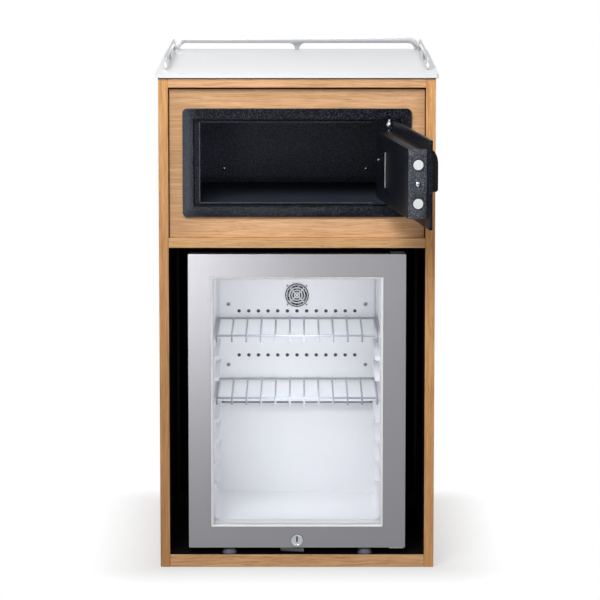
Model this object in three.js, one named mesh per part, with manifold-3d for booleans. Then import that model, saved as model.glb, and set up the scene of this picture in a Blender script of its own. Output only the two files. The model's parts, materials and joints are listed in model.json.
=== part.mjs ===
// Hotel minibar cabinet: an oak case with a railed white top, a recessed safe and a glass-door refrigerator.
// Millimetres, +Z up, +X to the right as seen from the front, +Y to the back.
// The origin is on the floor, at the middle of the case's footprint.
import * as THREE from 'three';
import { mergeVertices } from 'three/addons/utils/BufferGeometryUtils.js';
import Module from 'manifold-3d';

const wasm = await Module();
wasm.setup();

// Driving dimensions of the case
const CASE = { width: 508, depth: 560, height: 914 };
const BOARD = 18;
const BOTTOM_BOARD = 24;
const BACK_BOARD = 6;
const BACK_INSET = 6;
const VENT = { half: 150, bottom: 120, top: 520 };
const DIVIDER_Z = 600;
const FASCIA_INSET = 10;
const COUNTER = { overhang: 5, thickness: 8, corner: 6 };
const RAIL = { height: 24, bar: 11, sheet: 4, leg: 12, inset: 14 };
const RAIL_CURVE = { end: 23.5, arch: 12.5, flare: 12.5, midLeg: 8 };
const BACK_RAIL_LENGTH = 490;
const SIDE_RAIL = { length: 440, front: 84 };

// Driving dimensions of the safe
const SAFE = { width: 420, height: 200, depth: 370, flange: 20, sheet: 5, wall: 4, corner: 9 };
const SAFE_DOOR_GAP = 1.5;
const SAFE_DOOR_SHEET = 5;
const SAFE_DOOR_OPEN = 99;
const SAFE_PIVOT = { inset: 20, behindFront: 9, tail: 17 };
const SAFE_LIP = { width: 12, edge: 6, sheet: 2.5, behindDoor: 3, hingeGap: 50 };
const HINGE_PIN = { radius: 3.5, length: 23, lugHole: 3.8, lugHalf: 9, lugSheet: 4, lugDrop: 15 };
const LOCK_BOX = { start: 25, end: 335, height: 122, depth: 29, sheet: 1.5 };
const LOCK_SLOT = { from: 120, width: 6, height: 63 };
const BOLT = { radius: 9, spacing: 68, behindPivot: 12.5, tip: 338, tail: 288.3, hole: 9.6 };
const PINION = { teeth: 12, module: 1.5, from: 250, front: 5, back: 13, bore: 2.6, backlash: 0.25 };
const RACK_TIP = 1.0;
const PRESSURE_ANGLE = 20;
const BEZEL = { start: 230, end: 345, bottom: -14, top: 60, proud: 12, slopeFrom: 34, corner: 8 };
const KEY = { width: 24, height: 7.6, depth: 8, proud: 1.5, play: 0.4, pitchX: 30, pitchZ: 10.4, baseZ: -3.6 };
const KEY_NAMES = [['clear', '0', 'enter'], ['7', '8', '9'], ['4', '5', '6'], ['1', '2', '3']];
const SEAT_GAP = 0.3;

// Driving dimensions of the refrigerator
const FRIDGE_DOOR = { width: 402, bottom: 36, top: 588, front: 4, thickness: 36, sheet: 3, skirt: 30 };
const WINDOW = { half: 159.5, bottom: 75, top: 545 };
const SHELL = { half: 199, bottom: 44, top: 584, front: 46, depth: 404, corner: 8 };
const CAVITY = { half: 156, bottom: 80, top: 545, depth: 250, corner: 14, skin: 2, lip: 10 };
const GASKET_WIDTH = 18;
const DOOR_PIVOT = { x: 187, behindFront: 18, pin: 4, hole: 4.3 };
const RUNNER = { depth: 198, proud: 10, height: 7, top: 424, levels: 8, pitch: 118 / 3 };
const UPPER_SHELF_LEVEL = 0;
const LOWER_SHELF_LEVEL = 3;
const WIRE = { radius: 2, count: 10, pitch: 27, sideX: 150, drop: 11 };
const COVER = { half: 150, bottom: 262, top: 538, stand: 24, sheet: 2.5, corner: 12 };
const FAN = { z: 470, bore: 23, size: 52, blades: 7, tip: 20.5, hub: 8, shaft: 2.4 };
const GRILLE_RINGS = [6, 11, 16];
const AIR_HOLES = { count: 13, pitch: 18.6, radius: 3.6, rows: [439, 353] };
const LOCK = { z: 50, radius: 11, barrel: 8, proud: 3 };
const FOOT = { radius: 13, x: 126, fromFront: 75, fromBack: 30 };

// Places worked out from the driving dimensions
const frontY = -CASE.depth / 2;
const backY = CASE.depth / 2;
const innerX = CASE.width / 2 - BOARD;
const backBoardY = backY - BACK_INSET - BACK_BOARD;
const bayTopZ = CASE.height - BOARD;
const dividerTopZ = DIVIDER_Z + BOARD;
const fasciaY = frontY + FASCIA_INSET;
const safeZ = (dividerTopZ + bayTopZ) / 2;
const safeFrontY = fasciaY - SAFE.sheet;
const safeHalfW = SAFE.width / 2 - SAFE.flange;
const safeHalfH = SAFE.height / 2 - SAFE.flange;
const counterZ = CASE.height + COUNTER.thickness;
const doorFrontY = frontY + FRIDGE_DOOR.front;
const doorBackY = doorFrontY + FRIDGE_DOOR.thickness;
const shellFrontY = frontY + SHELL.front;
const shellBackY = shellFrontY + SHELL.depth;
const cavityBackY = shellFrontY + CAVITY.depth;

const material = (color, roughness, metalness = 0) =>
  new THREE.MeshStandardMaterial({ color, roughness, metalness });
const OAK = material(0xd9ad77, 0.55);
const HARDBOARD = material(0x8a6a48, 0.8);
const WHITE_TOP = material(0xe9ecee, 0.3);
const BRIGHT_STEEL = material(0xd6d8da, 0.2, 1);
const BRUSHED_STEEL = material(0xa5a5a8, 0.35, 1);
const BLACK_STEEL = material(0x1c1d21, 0.55, 0.2);
const BLACK_PLASTIC = material(0x141414, 0.5);
const GREY_PLASTIC = material(0x9a9ca0, 0.5);
const WHITE_PLASTIC = material(0xeef0f3, 0.4);
const BRASS = material(0xb8953f, 0.35, 1);
const COPPER_TUBE = material(0x2a2b2d, 0.4, 0.6);
const GLASS = material(0xf4f8fa, 0.03);
GLASS.transparent = true;
GLASS.opacity = 0.2;

// A closed geometry as a solid that can be joined and cut.
function solidOf(geometry) {
  const bare = new THREE.BufferGeometry();
  bare.setAttribute('position', geometry.getAttribute('position'));
  bare.setIndex(geometry.index);
  const merged = mergeVertices(bare, 1e-4);
  return new wasm.Manifold(new wasm.Mesh({
    numProp: 3,
    vertProperties: merged.getAttribute('position').array,
    triVerts: new Uint32Array(merged.index.array),
  }));
}

// The geometry of a solid.
function geometryOf(solid) {
  const mesh = solid.getMesh();
  const geometry = new THREE.BufferGeometry();
  geometry.setAttribute('position', new THREE.BufferAttribute(mesh.vertProperties, 3));
  geometry.setIndex(new THREE.BufferAttribute(mesh.triVerts, 1));
  geometry.computeVertexNormals();
  return geometry;
}

const join = (...pieces) => geometryOf(pieces.map(solidOf).reduce((whole, piece) => whole.add(piece)));
const cut = (body, ...tools) =>
  geometryOf(tools.map(solidOf).reduce((rest, tool) => rest.subtract(tool), solidOf(body)));
const common = (a, b) => geometryOf(solidOf(a).intersect(solidOf(b)));

// A box between its lowest and its highest corner.
function box([x0, y0, z0], [x1, y1, z1]) {
  const geometry = new THREE.BoxGeometry(x1 - x0, y1 - y0, z1 - z0);
  return geometry.translate((x0 + x1) / 2, (y0 + y1) / 2, (z0 + z1) / 2);
}

// A round bar from one point to another.
function rod(from, to, radius, sides = 20) {
  const start = new THREE.Vector3(...from);
  const end = new THREE.Vector3(...to);
  const along = end.clone().sub(start);
  const geometry = new THREE.CylinderGeometry(radius, radius, along.length(), sides);
  const turn = new THREE.Quaternion().setFromUnitVectors(new THREE.Vector3(0, 1, 0), along.normalize());
  return geometry.applyQuaternion(turn).translate(...start.add(end).multiplyScalar(0.5).toArray());
}

// A flat outline drawn in X and Z, with its thickness from y0 back to y1.
function plateXZ(shape, y0, y1, curveSegments = 6) {
  const geometry = new THREE.ExtrudeGeometry(shape, { depth: y1 - y0, bevelEnabled: false, curveSegments });
  return geometry.rotateX(Math.PI / 2).translate(0, y1, 0);
}

// A flat outline drawn in Y and Z, with its thickness from x0 right to x1.
function plateYZ(shape, x0, x1, curveSegments = 6) {
  const geometry = new THREE.ExtrudeGeometry(shape, { depth: x1 - x0, bevelEnabled: false, curveSegments });
  const axes = [new THREE.Vector3(0, 1, 0), new THREE.Vector3(0, 0, 1), new THREE.Vector3(1, 0, 0)];
  return geometry.applyMatrix4(new THREE.Matrix4().makeBasis(...axes)).translate(x0, 0, 0);
}

// A flat outline drawn in X and Y, with its thickness from z0 up to z1.
function plateXY(shape, z0, z1, curveSegments = 6) {
  const geometry = new THREE.ExtrudeGeometry(shape, { depth: z1 - z0, bevelEnabled: false, curveSegments });
  return geometry.translate(0, 0, z0);
}

// A rectangle with round corners between two opposite corners.
function roundedRect(x0, y0, x1, y1, radius) {
  const quarter = Math.PI / 2;
  const shape = new THREE.Shape();
  shape.moveTo(x0 + radius, y0);
  shape.absarc(x1 - radius, y0 + radius, radius, -quarter, 0);
  shape.absarc(x1 - radius, y1 - radius, radius, 0, quarter);
  shape.absarc(x0 + radius, y1 - radius, radius, quarter, 2 * quarter);
  shape.absarc(x0 + radius, y0 + radius, radius, 2 * quarter, 3 * quarter);
  shape.closePath();
  return shape;
}

// A rectangle with square corners, as a shape.
function rectangle(x0, y0, x1, y1) {
  const corners = [[x0, y0], [x1, y0], [x1, y1], [x0, y1]];
  return new THREE.Shape(corners.map((point) => new THREE.Vector2(...point)));
}

// A rectangular frame: an outer outline with an inner one taken out.
function frameShape(outer, inner) {
  outer.holes.push(inner);
  return outer;
}

// A disc, or a ring where an inner radius is given.
function ringShape(x, y, radius, inner = 0) {
  const shape = new THREE.Shape().absarc(x, y, radius, 0, 2 * Math.PI);
  if (inner > 0) shape.holes.push(new THREE.Path().absarc(x, y, inner, 0, 2 * Math.PI, true));
  return shape;
}

function addPiece(group, name, geometry, finish) {
  const mesh = new THREE.Mesh(geometry, finish);
  mesh.name = name;
  group.add(mesh);
  return mesh;
}

// The oak case: two full-height sides, three boards between them, the safe's fascia and platform, the back.
function makeCase() {
  const group = new THREE.Group();
  const outerX = CASE.width / 2;
  addPiece(group, 'side_panel_left', box([-outerX, frontY, 0], [-innerX, backY, CASE.height]), OAK);
  addPiece(group, 'side_panel_right', box([innerX, frontY, 0], [outerX, backY, CASE.height]), OAK);
  const between = (z0, z1, y1) => box([-innerX, frontY, z0], [innerX, y1, z1]);
  addPiece(group, 'top_board', between(bayTopZ, CASE.height, backBoardY), OAK);
  addPiece(group, 'divider_board', between(DIVIDER_Z, dividerTopZ, backBoardY), OAK);
  addPiece(group, 'bottom_board', between(0, BOTTOM_BOARD, backY - BACK_INSET), OAK);
  addPiece(group, 'back_panel', backPanel(), HARDBOARD);
  addPiece(group, 'safe_fascia', fascia(), OAK);
  addPiece(group, 'safe_platform', safePlatform(), OAK);
  return group;
}

// The thin back, with an air opening behind the refrigerator.
function backPanel() {
  const outline = rectangle(-innerX, BOTTOM_BOARD, innerX, CASE.height);
  const vent = roundedRect(-VENT.half, VENT.bottom, VENT.half, VENT.top, 4);
  return plateXZ(frameShape(outline, vent), backBoardY, backY - BACK_INSET, 3);
}

// The front panel of the upper bay, cut out for the safe's body.
function fascia() {
  const bodyGap = SAFE.wall + 1;
  const holeW = safeHalfW + bodyGap;
  const holeH = safeHalfH + bodyGap;
  const opening = rectangle(-holeW, safeZ - holeH, holeW, safeZ + holeH);
  const shape = frameShape(rectangle(-innerX, dividerTopZ, innerX, bayTopZ), opening);
  return plateXZ(shape, fasciaY, fasciaY + BOARD);
}

// A low stand on the divider that carries the safe's weight: a board on two cheeks.
function safePlatform() {
  const topZ = safeZ - safeHalfH - SAFE.wall;
  const halfW = 170;
  const y0 = fasciaY + 40;
  const y1 = y0 + 280;
  const stand = box([-halfW, y0, dividerTopZ], [halfW, y1, topZ]);
  const hollow = box([-halfW + BOARD, y0 - 1, dividerTopZ - 1], [halfW - BOARD, y1 + 1, topZ - BOARD]);
  return cut(stand, hollow);
}

// The white top with its three low rails.
function makeCounter() {
  const group = new THREE.Group();
  const halfW = CASE.width / 2 + COUNTER.overhang;
  const front = frontY - COUNTER.overhang;
  const slab = roundedRect(-halfW, front, halfW, backY, COUNTER.corner);
  addPiece(group, 'counter_top', plateXY(slab, CASE.height, counterZ, 4), WHITE_TOP);

  const backRail = plateXZ(railOutline(BACK_RAIL_LENGTH), 0, RAIL.sheet, 4);
  const railY = backY - RAIL.inset - RAIL.sheet;
  addPiece(group, 'gallery_back', backRail, BRIGHT_STEEL).position.set(0, railY, counterZ);

  const sideMiddle = front + SIDE_RAIL.front + SIDE_RAIL.length / 2;
  const sideRail = plateYZ(railOutline(SIDE_RAIL.length), 0, RAIL.sheet, 4);
  const railX = halfW - RAIL.inset;
  addPiece(group, 'gallery_left', sideRail, BRIGHT_STEEL).position.set(-railX, sideMiddle, counterZ);
  const rightRail = addPiece(group, 'gallery_right', sideRail.clone(), BRIGHT_STEEL);
  rightRail.position.set(railX - RAIL.sheet, sideMiddle, counterZ);
  return group;
}

// A rail cut from sheet: a bar with rounded-down ends, standing on two end legs and a flared middle leg.
function railOutline(length) {
  const half = length / 2;
  const under = RAIL.height - RAIL.bar;
  const mid = RAIL_CURVE.midLeg / 2;
  const legX = half - RAIL.leg;
  const quarter = Math.PI / 2;
  const shape = new THREE.Shape();
  shape.moveTo(-half, 0);
  const endZ = RAIL.height - RAIL_CURVE.end;
  shape.absarc(-half + RAIL_CURVE.end, endZ, RAIL_CURVE.end, 2 * quarter, quarter, true);
  shape.absarc(half - RAIL_CURVE.end, endZ, RAIL_CURVE.end, quarter, 0, true);
  shape.lineTo(half, 0);
  shape.lineTo(legX, 0);
  shape.absarc(legX - RAIL_CURVE.arch, under - RAIL_CURVE.arch, RAIL_CURVE.arch, 0, quarter);
  shape.absarc(mid + RAIL_CURVE.flare, under - RAIL_CURVE.flare, RAIL_CURVE.flare, quarter, 2 * quarter);
  shape.lineTo(mid, 0);
  shape.lineTo(-mid, 0);
  shape.absarc(-mid - RAIL_CURVE.flare, under - RAIL_CURVE.flare, RAIL_CURVE.flare, 0, quarter);
  shape.absarc(-legX + RAIL_CURVE.arch, under - RAIL_CURVE.arch, RAIL_CURVE.arch, quarter, 2 * quarter);
  shape.lineTo(-legX, 0);
  shape.closePath();
  return shape;
}

// The safe's fixed half: the flanged body and the two hinge pins.
function makeSafe() {
  const group = new THREE.Group();
  group.position.set(0, safeFrontY, safeZ);
  addPiece(group, 'safe_body', safeBody(), BLACK_STEEL);
  const pivot = [safeHalfW - SAFE_PIVOT.inset, SAFE_PIVOT.behindFront];
  const pinEnd = safeHalfH - HINGE_PIN.length;
  const pin = (from, to) => rod([...pivot, from], [...pivot, to], HINGE_PIN.radius);
  addPiece(group, 'safe_hinge_pin_top', pin(pinEnd, safeHalfH), BRIGHT_STEEL);
  addPiece(group, 'safe_hinge_pin_bottom', pin(-safeHalfH, -pinEnd), BRIGHT_STEEL);
  return group;
}

// A welded box with a round-cornered front flange and a lip behind the door on three sides.
function safeBody() {
  const w = safeHalfW;
  const h = safeHalfH;
  const t = SAFE.wall;
  const halfW = SAFE.width / 2;
  const halfH = SAFE.height / 2;
  const outline = roundedRect(-halfW, -halfH, halfW, halfH, SAFE.corner);
  const flange = plateXZ(frameShape(outline, rectangle(-w, -h, w, h)), 0, SAFE.sheet);
  const ring = frameShape(rectangle(-w - t, -h - t, w + t, h + t), rectangle(-w, -h, w, h));
  const sleeve = plateXZ(ring, SAFE.sheet, SAFE.depth);
  const rear = box([-w - t, SAFE.depth - t, -h - t], [w + t, SAFE.depth, h + t]);
  const lipY = SAFE_DOOR_SHEET + SAFE_LIP.behindDoor;
  const lipBackY = lipY + SAFE_LIP.sheet;
  const lipEndX = w - SAFE_LIP.hingeGap;
  const strikeLip = box([-w - 1, lipY, -h - 1], [-w + SAFE_LIP.width, lipBackY, h + 1]);
  const topLip = box([-w - 1, lipY, h - SAFE_LIP.edge], [lipEndX, lipBackY, h + 1]);
  const bottomLip = box([-w - 1, lipY, -h - 1], [lipEndX, lipBackY, -h + SAFE_LIP.edge]);
  return join(flange, sleeve, rear, strikeLip, topLip, bottomLip);
}

// The safe's door and what it carries, drawn closed about the hinge axis at the group's origin, then opened.
function makeSafeDoor() {
  const group = new THREE.Group();
  group.position.set(safeHalfW - SAFE_PIVOT.inset, safeFrontY + SAFE_PIVOT.behindFront, safeZ);
  group.rotation.z = THREE.MathUtils.degToRad(SAFE_DOOR_OPEN);
  addPiece(group, 'safe_door_plate', safeDoorPlate(), BLACK_STEEL);
  addPiece(group, 'safe_lock_cover', lockCover(), BLACK_STEEL);
  addPiece(group, 'keypad_bezel', keypadBezel(), BLACK_PLASTIC);
  addKeys(group);
  addLockWork(group);
  return group;
}

const plateBackY = SAFE_DOOR_SHEET - SAFE_PIVOT.behindFront;
const plateFrontY = -SAFE_PIVOT.behindFront;

// The door's steel plate with a hinge lug at the top and at the bottom.
function safeDoorPlate() {
  const freeEdge = -(2 * safeHalfW - SAFE_PIVOT.inset - SAFE_DOOR_GAP);
  const halfH = safeHalfH - SAFE_DOOR_GAP;
  const plate = plateXZ(roundedRect(freeEdge, -halfH, SAFE_PIVOT.tail, halfH, 2), plateFrontY, plateBackY, 3);
  const lugs = [-1, 1].map((side) => {
    const near = side * (safeHalfH - HINGE_PIN.lugDrop);
    const far = near - side * HINGE_PIN.lugSheet;
    const half = HINGE_PIN.lugHalf;
    const lug = box([-half, plateBackY - 1, Math.min(near, far)], [half, half - 2, Math.max(near, far)]);
    return cut(lug, rod([0, 0, far - 10], [0, 0, near + 10], HINGE_PIN.lugHole));
  });
  return join(plate, ...lugs);
}

// The tray over the lock, open towards the door plate, with bolt holes in its end and a slot in its face.
function lockCover() {
  const { start, end, depth, sheet } = LOCK_BOX;
  const halfH = LOCK_BOX.height / 2;
  const y0 = plateBackY + SEAT_GAP;
  const tray = box([-end, y0, -halfH], [-start, depth, halfH]);
  const hollow = box([-end + sheet, y0 - 1, -halfH + sheet], [-start - sheet, depth - sheet, halfH - sheet]);
  const slotX = -LOCK_SLOT.from;
  const slot = box(
    [slotX - LOCK_SLOT.width, depth - 4, -LOCK_SLOT.height / 2],
    [slotX, depth + 1, LOCK_SLOT.height / 2],
  );
  const holes = boltHeights().map((z) =>
    rod([-end - 1, BOLT.behindPivot, z], [-end + 4, BOLT.behindPivot, z], BOLT.hole));
  return cut(tray, hollow, slot, ...holes);
}

function boltHeights() {
  return [BOLT.spacing / 2, -BOLT.spacing / 2];
}

// The keypad's housing on the door's outer face: flat below, sloping away above, with a pocket for each key.
function keypadBezel() {
  const seat = plateFrontY - SEAT_GAP;
  const face = seat - BEZEL.proud;
  const profile = new THREE.Shape();
  profile.moveTo(seat, BEZEL.bottom);
  profile.lineTo(face + 3, BEZEL.bottom);
  profile.lineTo(face, BEZEL.bottom + 4);
  profile.lineTo(face, BEZEL.slopeFrom);
  profile.quadraticCurveTo(face, BEZEL.top - 8, seat - 3, BEZEL.top);
  profile.lineTo(seat, BEZEL.top);
  profile.closePath();
  const block = plateYZ(profile, -BEZEL.end, -BEZEL.start, 8);
  const outline = roundedRect(-BEZEL.end, BEZEL.bottom, -BEZEL.start, BEZEL.top, BEZEL.corner);
  const rounded = common(block, plateXZ(outline, face - 1, seat + 1));
  const pockets = keyPlaces().map(({ x, z }) => keyBlock(x, z, face - 1, face + KEY.depth, KEY.play));
  return cut(rounded, ...pockets);
}

function keyPlaces() {
  const middleX = -(BEZEL.start + BEZEL.end) / 2;
  // Seen from outside, the keypad's left is towards the free edge, at the lower X.
  return KEY_NAMES.flatMap((row, rowIndex) => row.map((label, column) => ({
    name: 'key_' + label,
    x: middleX + (column - 1) * KEY.pitchX,
    z: KEY.baseZ + rowIndex * KEY.pitchZ,
  })));
}

function keyBlock(x, z, y0, y1, play = 0) {
  const halfW = KEY.width / 2 + play;
  const halfH = KEY.height / 2 + play;
  return box([x - halfW, y0, z - halfH], [x + halfW, y1, z + halfH]);
}

function addKeys(group) {
  const face = plateFrontY - SEAT_GAP - BEZEL.proud;
  keyPlaces().forEach(({ name, x, z }) => {
    addPiece(group, name, keyBlock(x, z, face - KEY.proud, face + KEY.depth - KEY.proud), GREY_PLASTIC);
  });
}

// The lock inside the cover: a gear motor's pinion drives a rack on the bar that carries both bolts.
function addLockWork(group) {
  const insideY = LOCK_BOX.depth - LOCK_BOX.sheet - SEAT_GAP;
  const [upper, lower] = boltHeights();
  const bolt = (z) => rod([-BOLT.tip, BOLT.behindPivot, z], [-BOLT.tail, BOLT.behindPivot, z], BOLT.radius);
  addPiece(group, 'bolt_upper', bolt(upper), BRIGHT_STEEL);
  addPiece(group, 'bolt_lower', bolt(lower), BRIGHT_STEEL);
  addPiece(group, 'bolt_bar', boltBar(), BRUSHED_STEEL);

  const gear = plateXZ(pinionOutline(), PINION.front, PINION.back, 8);
  addPiece(group, 'lock_pinion', gear, BRASS).position.set(-PINION.from, 0, 0);
  addPiece(group, 'lock_motor', lockMotor(insideY), BLACK_STEEL).position.set(-PINION.from, 0, 0);
  addPiece(group, 'battery_pack', batteryPack(insideY), BLACK_PLASTIC);
}

// A bar across both bolts with a toothed arm above the pinion.
function boltBar() {
  const pitch = Math.PI * PINION.module;
  const pitchZ = PINION.module * PINION.teeth / 2;
  const rootZ = pitchZ + PINION.module;
  const slope = Math.tan(THREE.MathUtils.degToRad(PRESSURE_ANGLE));
  const half = pitch / 4 - PINION.backlash / 2;
  const tipHalf = half - RACK_TIP * slope;
  const rootHalf = half + PINION.module * slope;
  const firstTooth = -2;
  const lastTooth = 6;
  const endX = (lastTooth + 0.5) * pitch - PINION.from;
  const barX = -BOLT.tail + SEAT_GAP;
  const shape = new THREE.Shape();
  shape.moveTo(barX, rootZ + 8);
  shape.lineTo(barX, rootZ);
  for (let tooth = firstTooth; tooth <= lastTooth; tooth++) {
    const x = tooth * pitch - PINION.from;
    shape.lineTo(x - rootHalf, rootZ);
    shape.lineTo(x - tipHalf, pitchZ - RACK_TIP);
    shape.lineTo(x + tipHalf, pitchZ - RACK_TIP);
    shape.lineTo(x + rootHalf, rootZ);
  }
  shape.lineTo(endX, rootZ);
  shape.lineTo(endX, rootZ + 8);
  shape.closePath();
  const arm = plateXZ(shape, PINION.front, PINION.back);
  const reach = BOLT.spacing / 2 + BOLT.radius + 2;
  const bar = plateXZ(roundedRect(barX, -reach, barX + 6, reach, 2), PINION.front, BOLT.behindPivot + 6, 3);
  return join(bar, arm);
}

// An involute pinion with a gap between teeth at the top, where the rack's tooth sits.
function pinionOutline() {
  const { teeth, module, backlash } = PINION;
  const pitchR = module * teeth / 2;
  const baseR = pitchR * Math.cos(THREE.MathUtils.degToRad(PRESSURE_ANGLE));
  const rootR = pitchR - 1.4;
  const tipR = pitchR + 0.8 * module;
  const involute = (r) => Math.tan(Math.acos(baseR / r)) - Math.acos(baseR / r);
  const pitchHalf = Math.PI / (2 * teeth) - backlash / (2 * pitchR);
  const halfAngle = (r) => pitchHalf + involute(pitchR) - involute(Math.max(r, baseR));
  const radii = [rootR, baseR, pitchR, tipR];
  const points = [];
  for (let tooth = 0; tooth < teeth; tooth++) {
    const middle = Math.PI / 2 + (tooth + 0.5) * (2 * Math.PI / teeth);
    const flank = (side) => (r) => {
      const angle = middle + side * halfAngle(r);
      return new THREE.Vector2(r * Math.cos(angle), r * Math.sin(angle));
    };
    points.push(...radii.map(flank(-1)), ...[...radii].reverse().map(flank(1)));
  }
  const shape = new THREE.Shape(points);
  shape.holes.push(new THREE.Path().absarc(0, 0, PINION.bore, 0, 2 * Math.PI, true));
  return shape;
}

// A flat gear motor with its shaft through the pinion, about the pinion's axis.
function lockMotor(insideY) {
  const gearbox = plateXZ(roundedRect(-14, -30, 14, 14, 5), PINION.back + 1, insideY, 4);
  const can = rod([0, PINION.back + 1, -40], [0, insideY, -40], 11);
  const neck = box([-6, PINION.back + 1, -40], [6, insideY, -28]);
  const shaft = rod([0, PINION.front, 0], [0, PINION.back + 2, 0], PINION.bore - 0.2, 12);
  return join(gearbox, can, neck, shaft);
}

// Four cells side by side in one holder.
function batteryPack(insideY) {
  const cell = 14.5;
  const count = 4;
  const middleX = -185;
  const frontFace = insideY - cell;
  const cells = Array.from({ length: count }, (_, i) => {
    const x = middleX + (i - (count - 1) / 2) * cell;
    return rod([x, frontFace + cell / 2, -25], [x, frontFace + cell / 2, 25], cell / 2 + 0.1, 12);
  });
  const halfW = count * cell / 2 + 2;
  const holder = box([middleX - halfW, insideY - cell / 2, -28], [middleX + halfW, insideY, 28]);
  return common(join(holder, ...cells), box([-400, -50, -100], [0, insideY, 100]));
}

// The refrigerator's fixed half: insulated shell, liner, air duct and fan, shelves and running gear.
function makeFridge() {
  const group = new THREE.Group();
  addPiece(group, 'fridge_shell', fridgeShell(), BLACK_STEEL);
  addPiece(group, 'fridge_liner', fridgeLiner(), WHITE_PLASTIC);
  addPiece(group, 'evaporator_cover', evaporatorCover(), WHITE_PLASTIC);
  addPiece(group, 'evaporator_coil', evaporatorCoil(), BRUSHED_STEEL);
  addPiece(group, 'fan_grille', fanGrille(), GREY_PLASTIC);
  addPiece(group, 'fan_housing', fanHousing(), BLACK_PLASTIC);
  addPiece(group, 'fan_rotor', fanRotor(), BLACK_PLASTIC);
  addPiece(group, 'shelf_upper', wireShelf(UPPER_SHELF_LEVEL), WHITE_PLASTIC);
  addPiece(group, 'shelf_lower', wireShelf(LOWER_SHELF_LEVEL), WHITE_PLASTIC);
  addPiece(group, 'lock_catch', lockCatch(), BRIGHT_STEEL);
  addPiece(group, 'door_hinge_top', doorHinge(FRIDGE_DOOR.top, SHELL.top, 1), BRUSHED_STEEL);
  addPiece(group, 'door_hinge_bottom', doorHinge(FRIDGE_DOOR.bottom, SHELL.bottom, -1), BRUSHED_STEEL);
  addFeet(group);
  addPiece(group, 'compressor', compressor(), BLACK_STEEL);
  addPiece(group, 'condenser_coil', condenserCoil(), COPPER_TUBE);
  return group;
}

// The cavity's round-cornered outline, grown all round by a margin.
function cavityOutline(margin) {
  const { half, bottom, top, corner } = CAVITY;
  return roundedRect(-half - margin, bottom - margin, half + margin, top + margin, corner + margin);
}

// The insulated box: a round-edged block with the cavity and the compressor's bay taken out.
function fridgeShell() {
  const outline = roundedRect(-SHELL.half, SHELL.bottom, SHELL.half, SHELL.top, SHELL.corner);
  const block = plateXZ(outline, shellFrontY, shellBackY, 4);
  const linerGap = CAVITY.skin + 0.5;
  const cavity = plateXZ(cavityOutline(linerGap), shellFrontY - 1, cavityBackY + linerGap, 5);
  const floorZ = SHELL.bottom + 6;
  const compressorBay = box([-170, shellBackY - 92, floorZ], [170, shellBackY + 1, floorZ + 130]);
  return cut(block, cavity, compressorBay);
}

// The thin liner with a lip round its mouth and rows of runners on both side walls.
function fridgeLiner() {
  const { skin, lip, half } = CAVITY;
  const outer = plateXZ(cavityOutline(skin), shellFrontY, cavityBackY + skin, 5);
  const flange = plateXZ(cavityOutline(lip), shellFrontY - skin, shellFrontY, 5);
  const hollow = plateXZ(cavityOutline(0), shellFrontY - skin - 1, cavityBackY, 5);
  const runnerBackY = cavityBackY - COVER.stand - 3;
  const runners = [];
  for (let level = 0; level < RUNNER.levels; level++) {
    const top = runnerTop(level);
    for (const side of [-1, 1]) {
      const xs = [side * (half - RUNNER.proud), side * (half + 1)].sort((a, b) => a - b);
      runners.push(box([xs[0], runnerBackY - RUNNER.depth, top - RUNNER.height], [xs[1], runnerBackY, top]));
    }
  }
  return join(cut(join(outer, flange), hollow), ...runners);
}

function runnerTop(level) {
  return RUNNER.top - level * RUNNER.pitch;
}

const coverFrontY = cavityBackY - COVER.stand;

// A shallow tray on the back wall with the fan's opening and two rows of air holes.
function evaporatorCover() {
  const { half, bottom, top, sheet, corner } = COVER;
  const tray = plateXZ(roundedRect(-half, bottom, half, top, corner), coverFrontY, cavityBackY, 5);
  const inside = roundedRect(-half + sheet, bottom + sheet, half - sheet, top - sheet, corner - sheet);
  const hollow = plateXZ(inside, coverFrontY + sheet, cavityBackY + 1, 5);
  const through = (x, z, radius, sides) =>
    rod([x, coverFrontY - 1, z], [x, coverFrontY + sheet + 1, z], radius, sides);
  const holes = AIR_HOLES.rows.flatMap((z) => Array.from({ length: AIR_HOLES.count }, (_, i) =>
    through((i - (AIR_HOLES.count - 1) / 2) * AIR_HOLES.pitch, z, AIR_HOLES.radius, 10)));
  return cut(tray, hollow, through(0, FAN.z, FAN.bore - 2, 24), ...holes);
}

// A finned plate behind the cover, below the fan.
function evaporatorCoil() {
  const finPitch = 8;
  const finCount = 29;
  const fin = 1.5;
  const finDepth = 11;
  const firstX = -(finCount - 1) / 2 * finPitch;
  const plateY = cavityBackY - 3;
  const shape = new THREE.Shape();
  shape.moveTo(firstX - 4, cavityBackY);
  shape.lineTo(firstX - 4, plateY);
  for (let i = 0; i < finCount; i++) {
    const x = firstX + i * finPitch;
    shape.lineTo(x - fin / 2, plateY);
    shape.lineTo(x - fin / 2, plateY - finDepth);
    shape.lineTo(x + fin / 2, plateY - finDepth);
    shape.lineTo(x + fin / 2, plateY);
  }
  shape.lineTo(-firstX + 4, plateY);
  shape.lineTo(-firstX + 4, cavityBackY);
  shape.closePath();
  return plateXY(shape, COVER.bottom + 15, FAN.z - FAN.size / 2 - 12);
}

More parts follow.
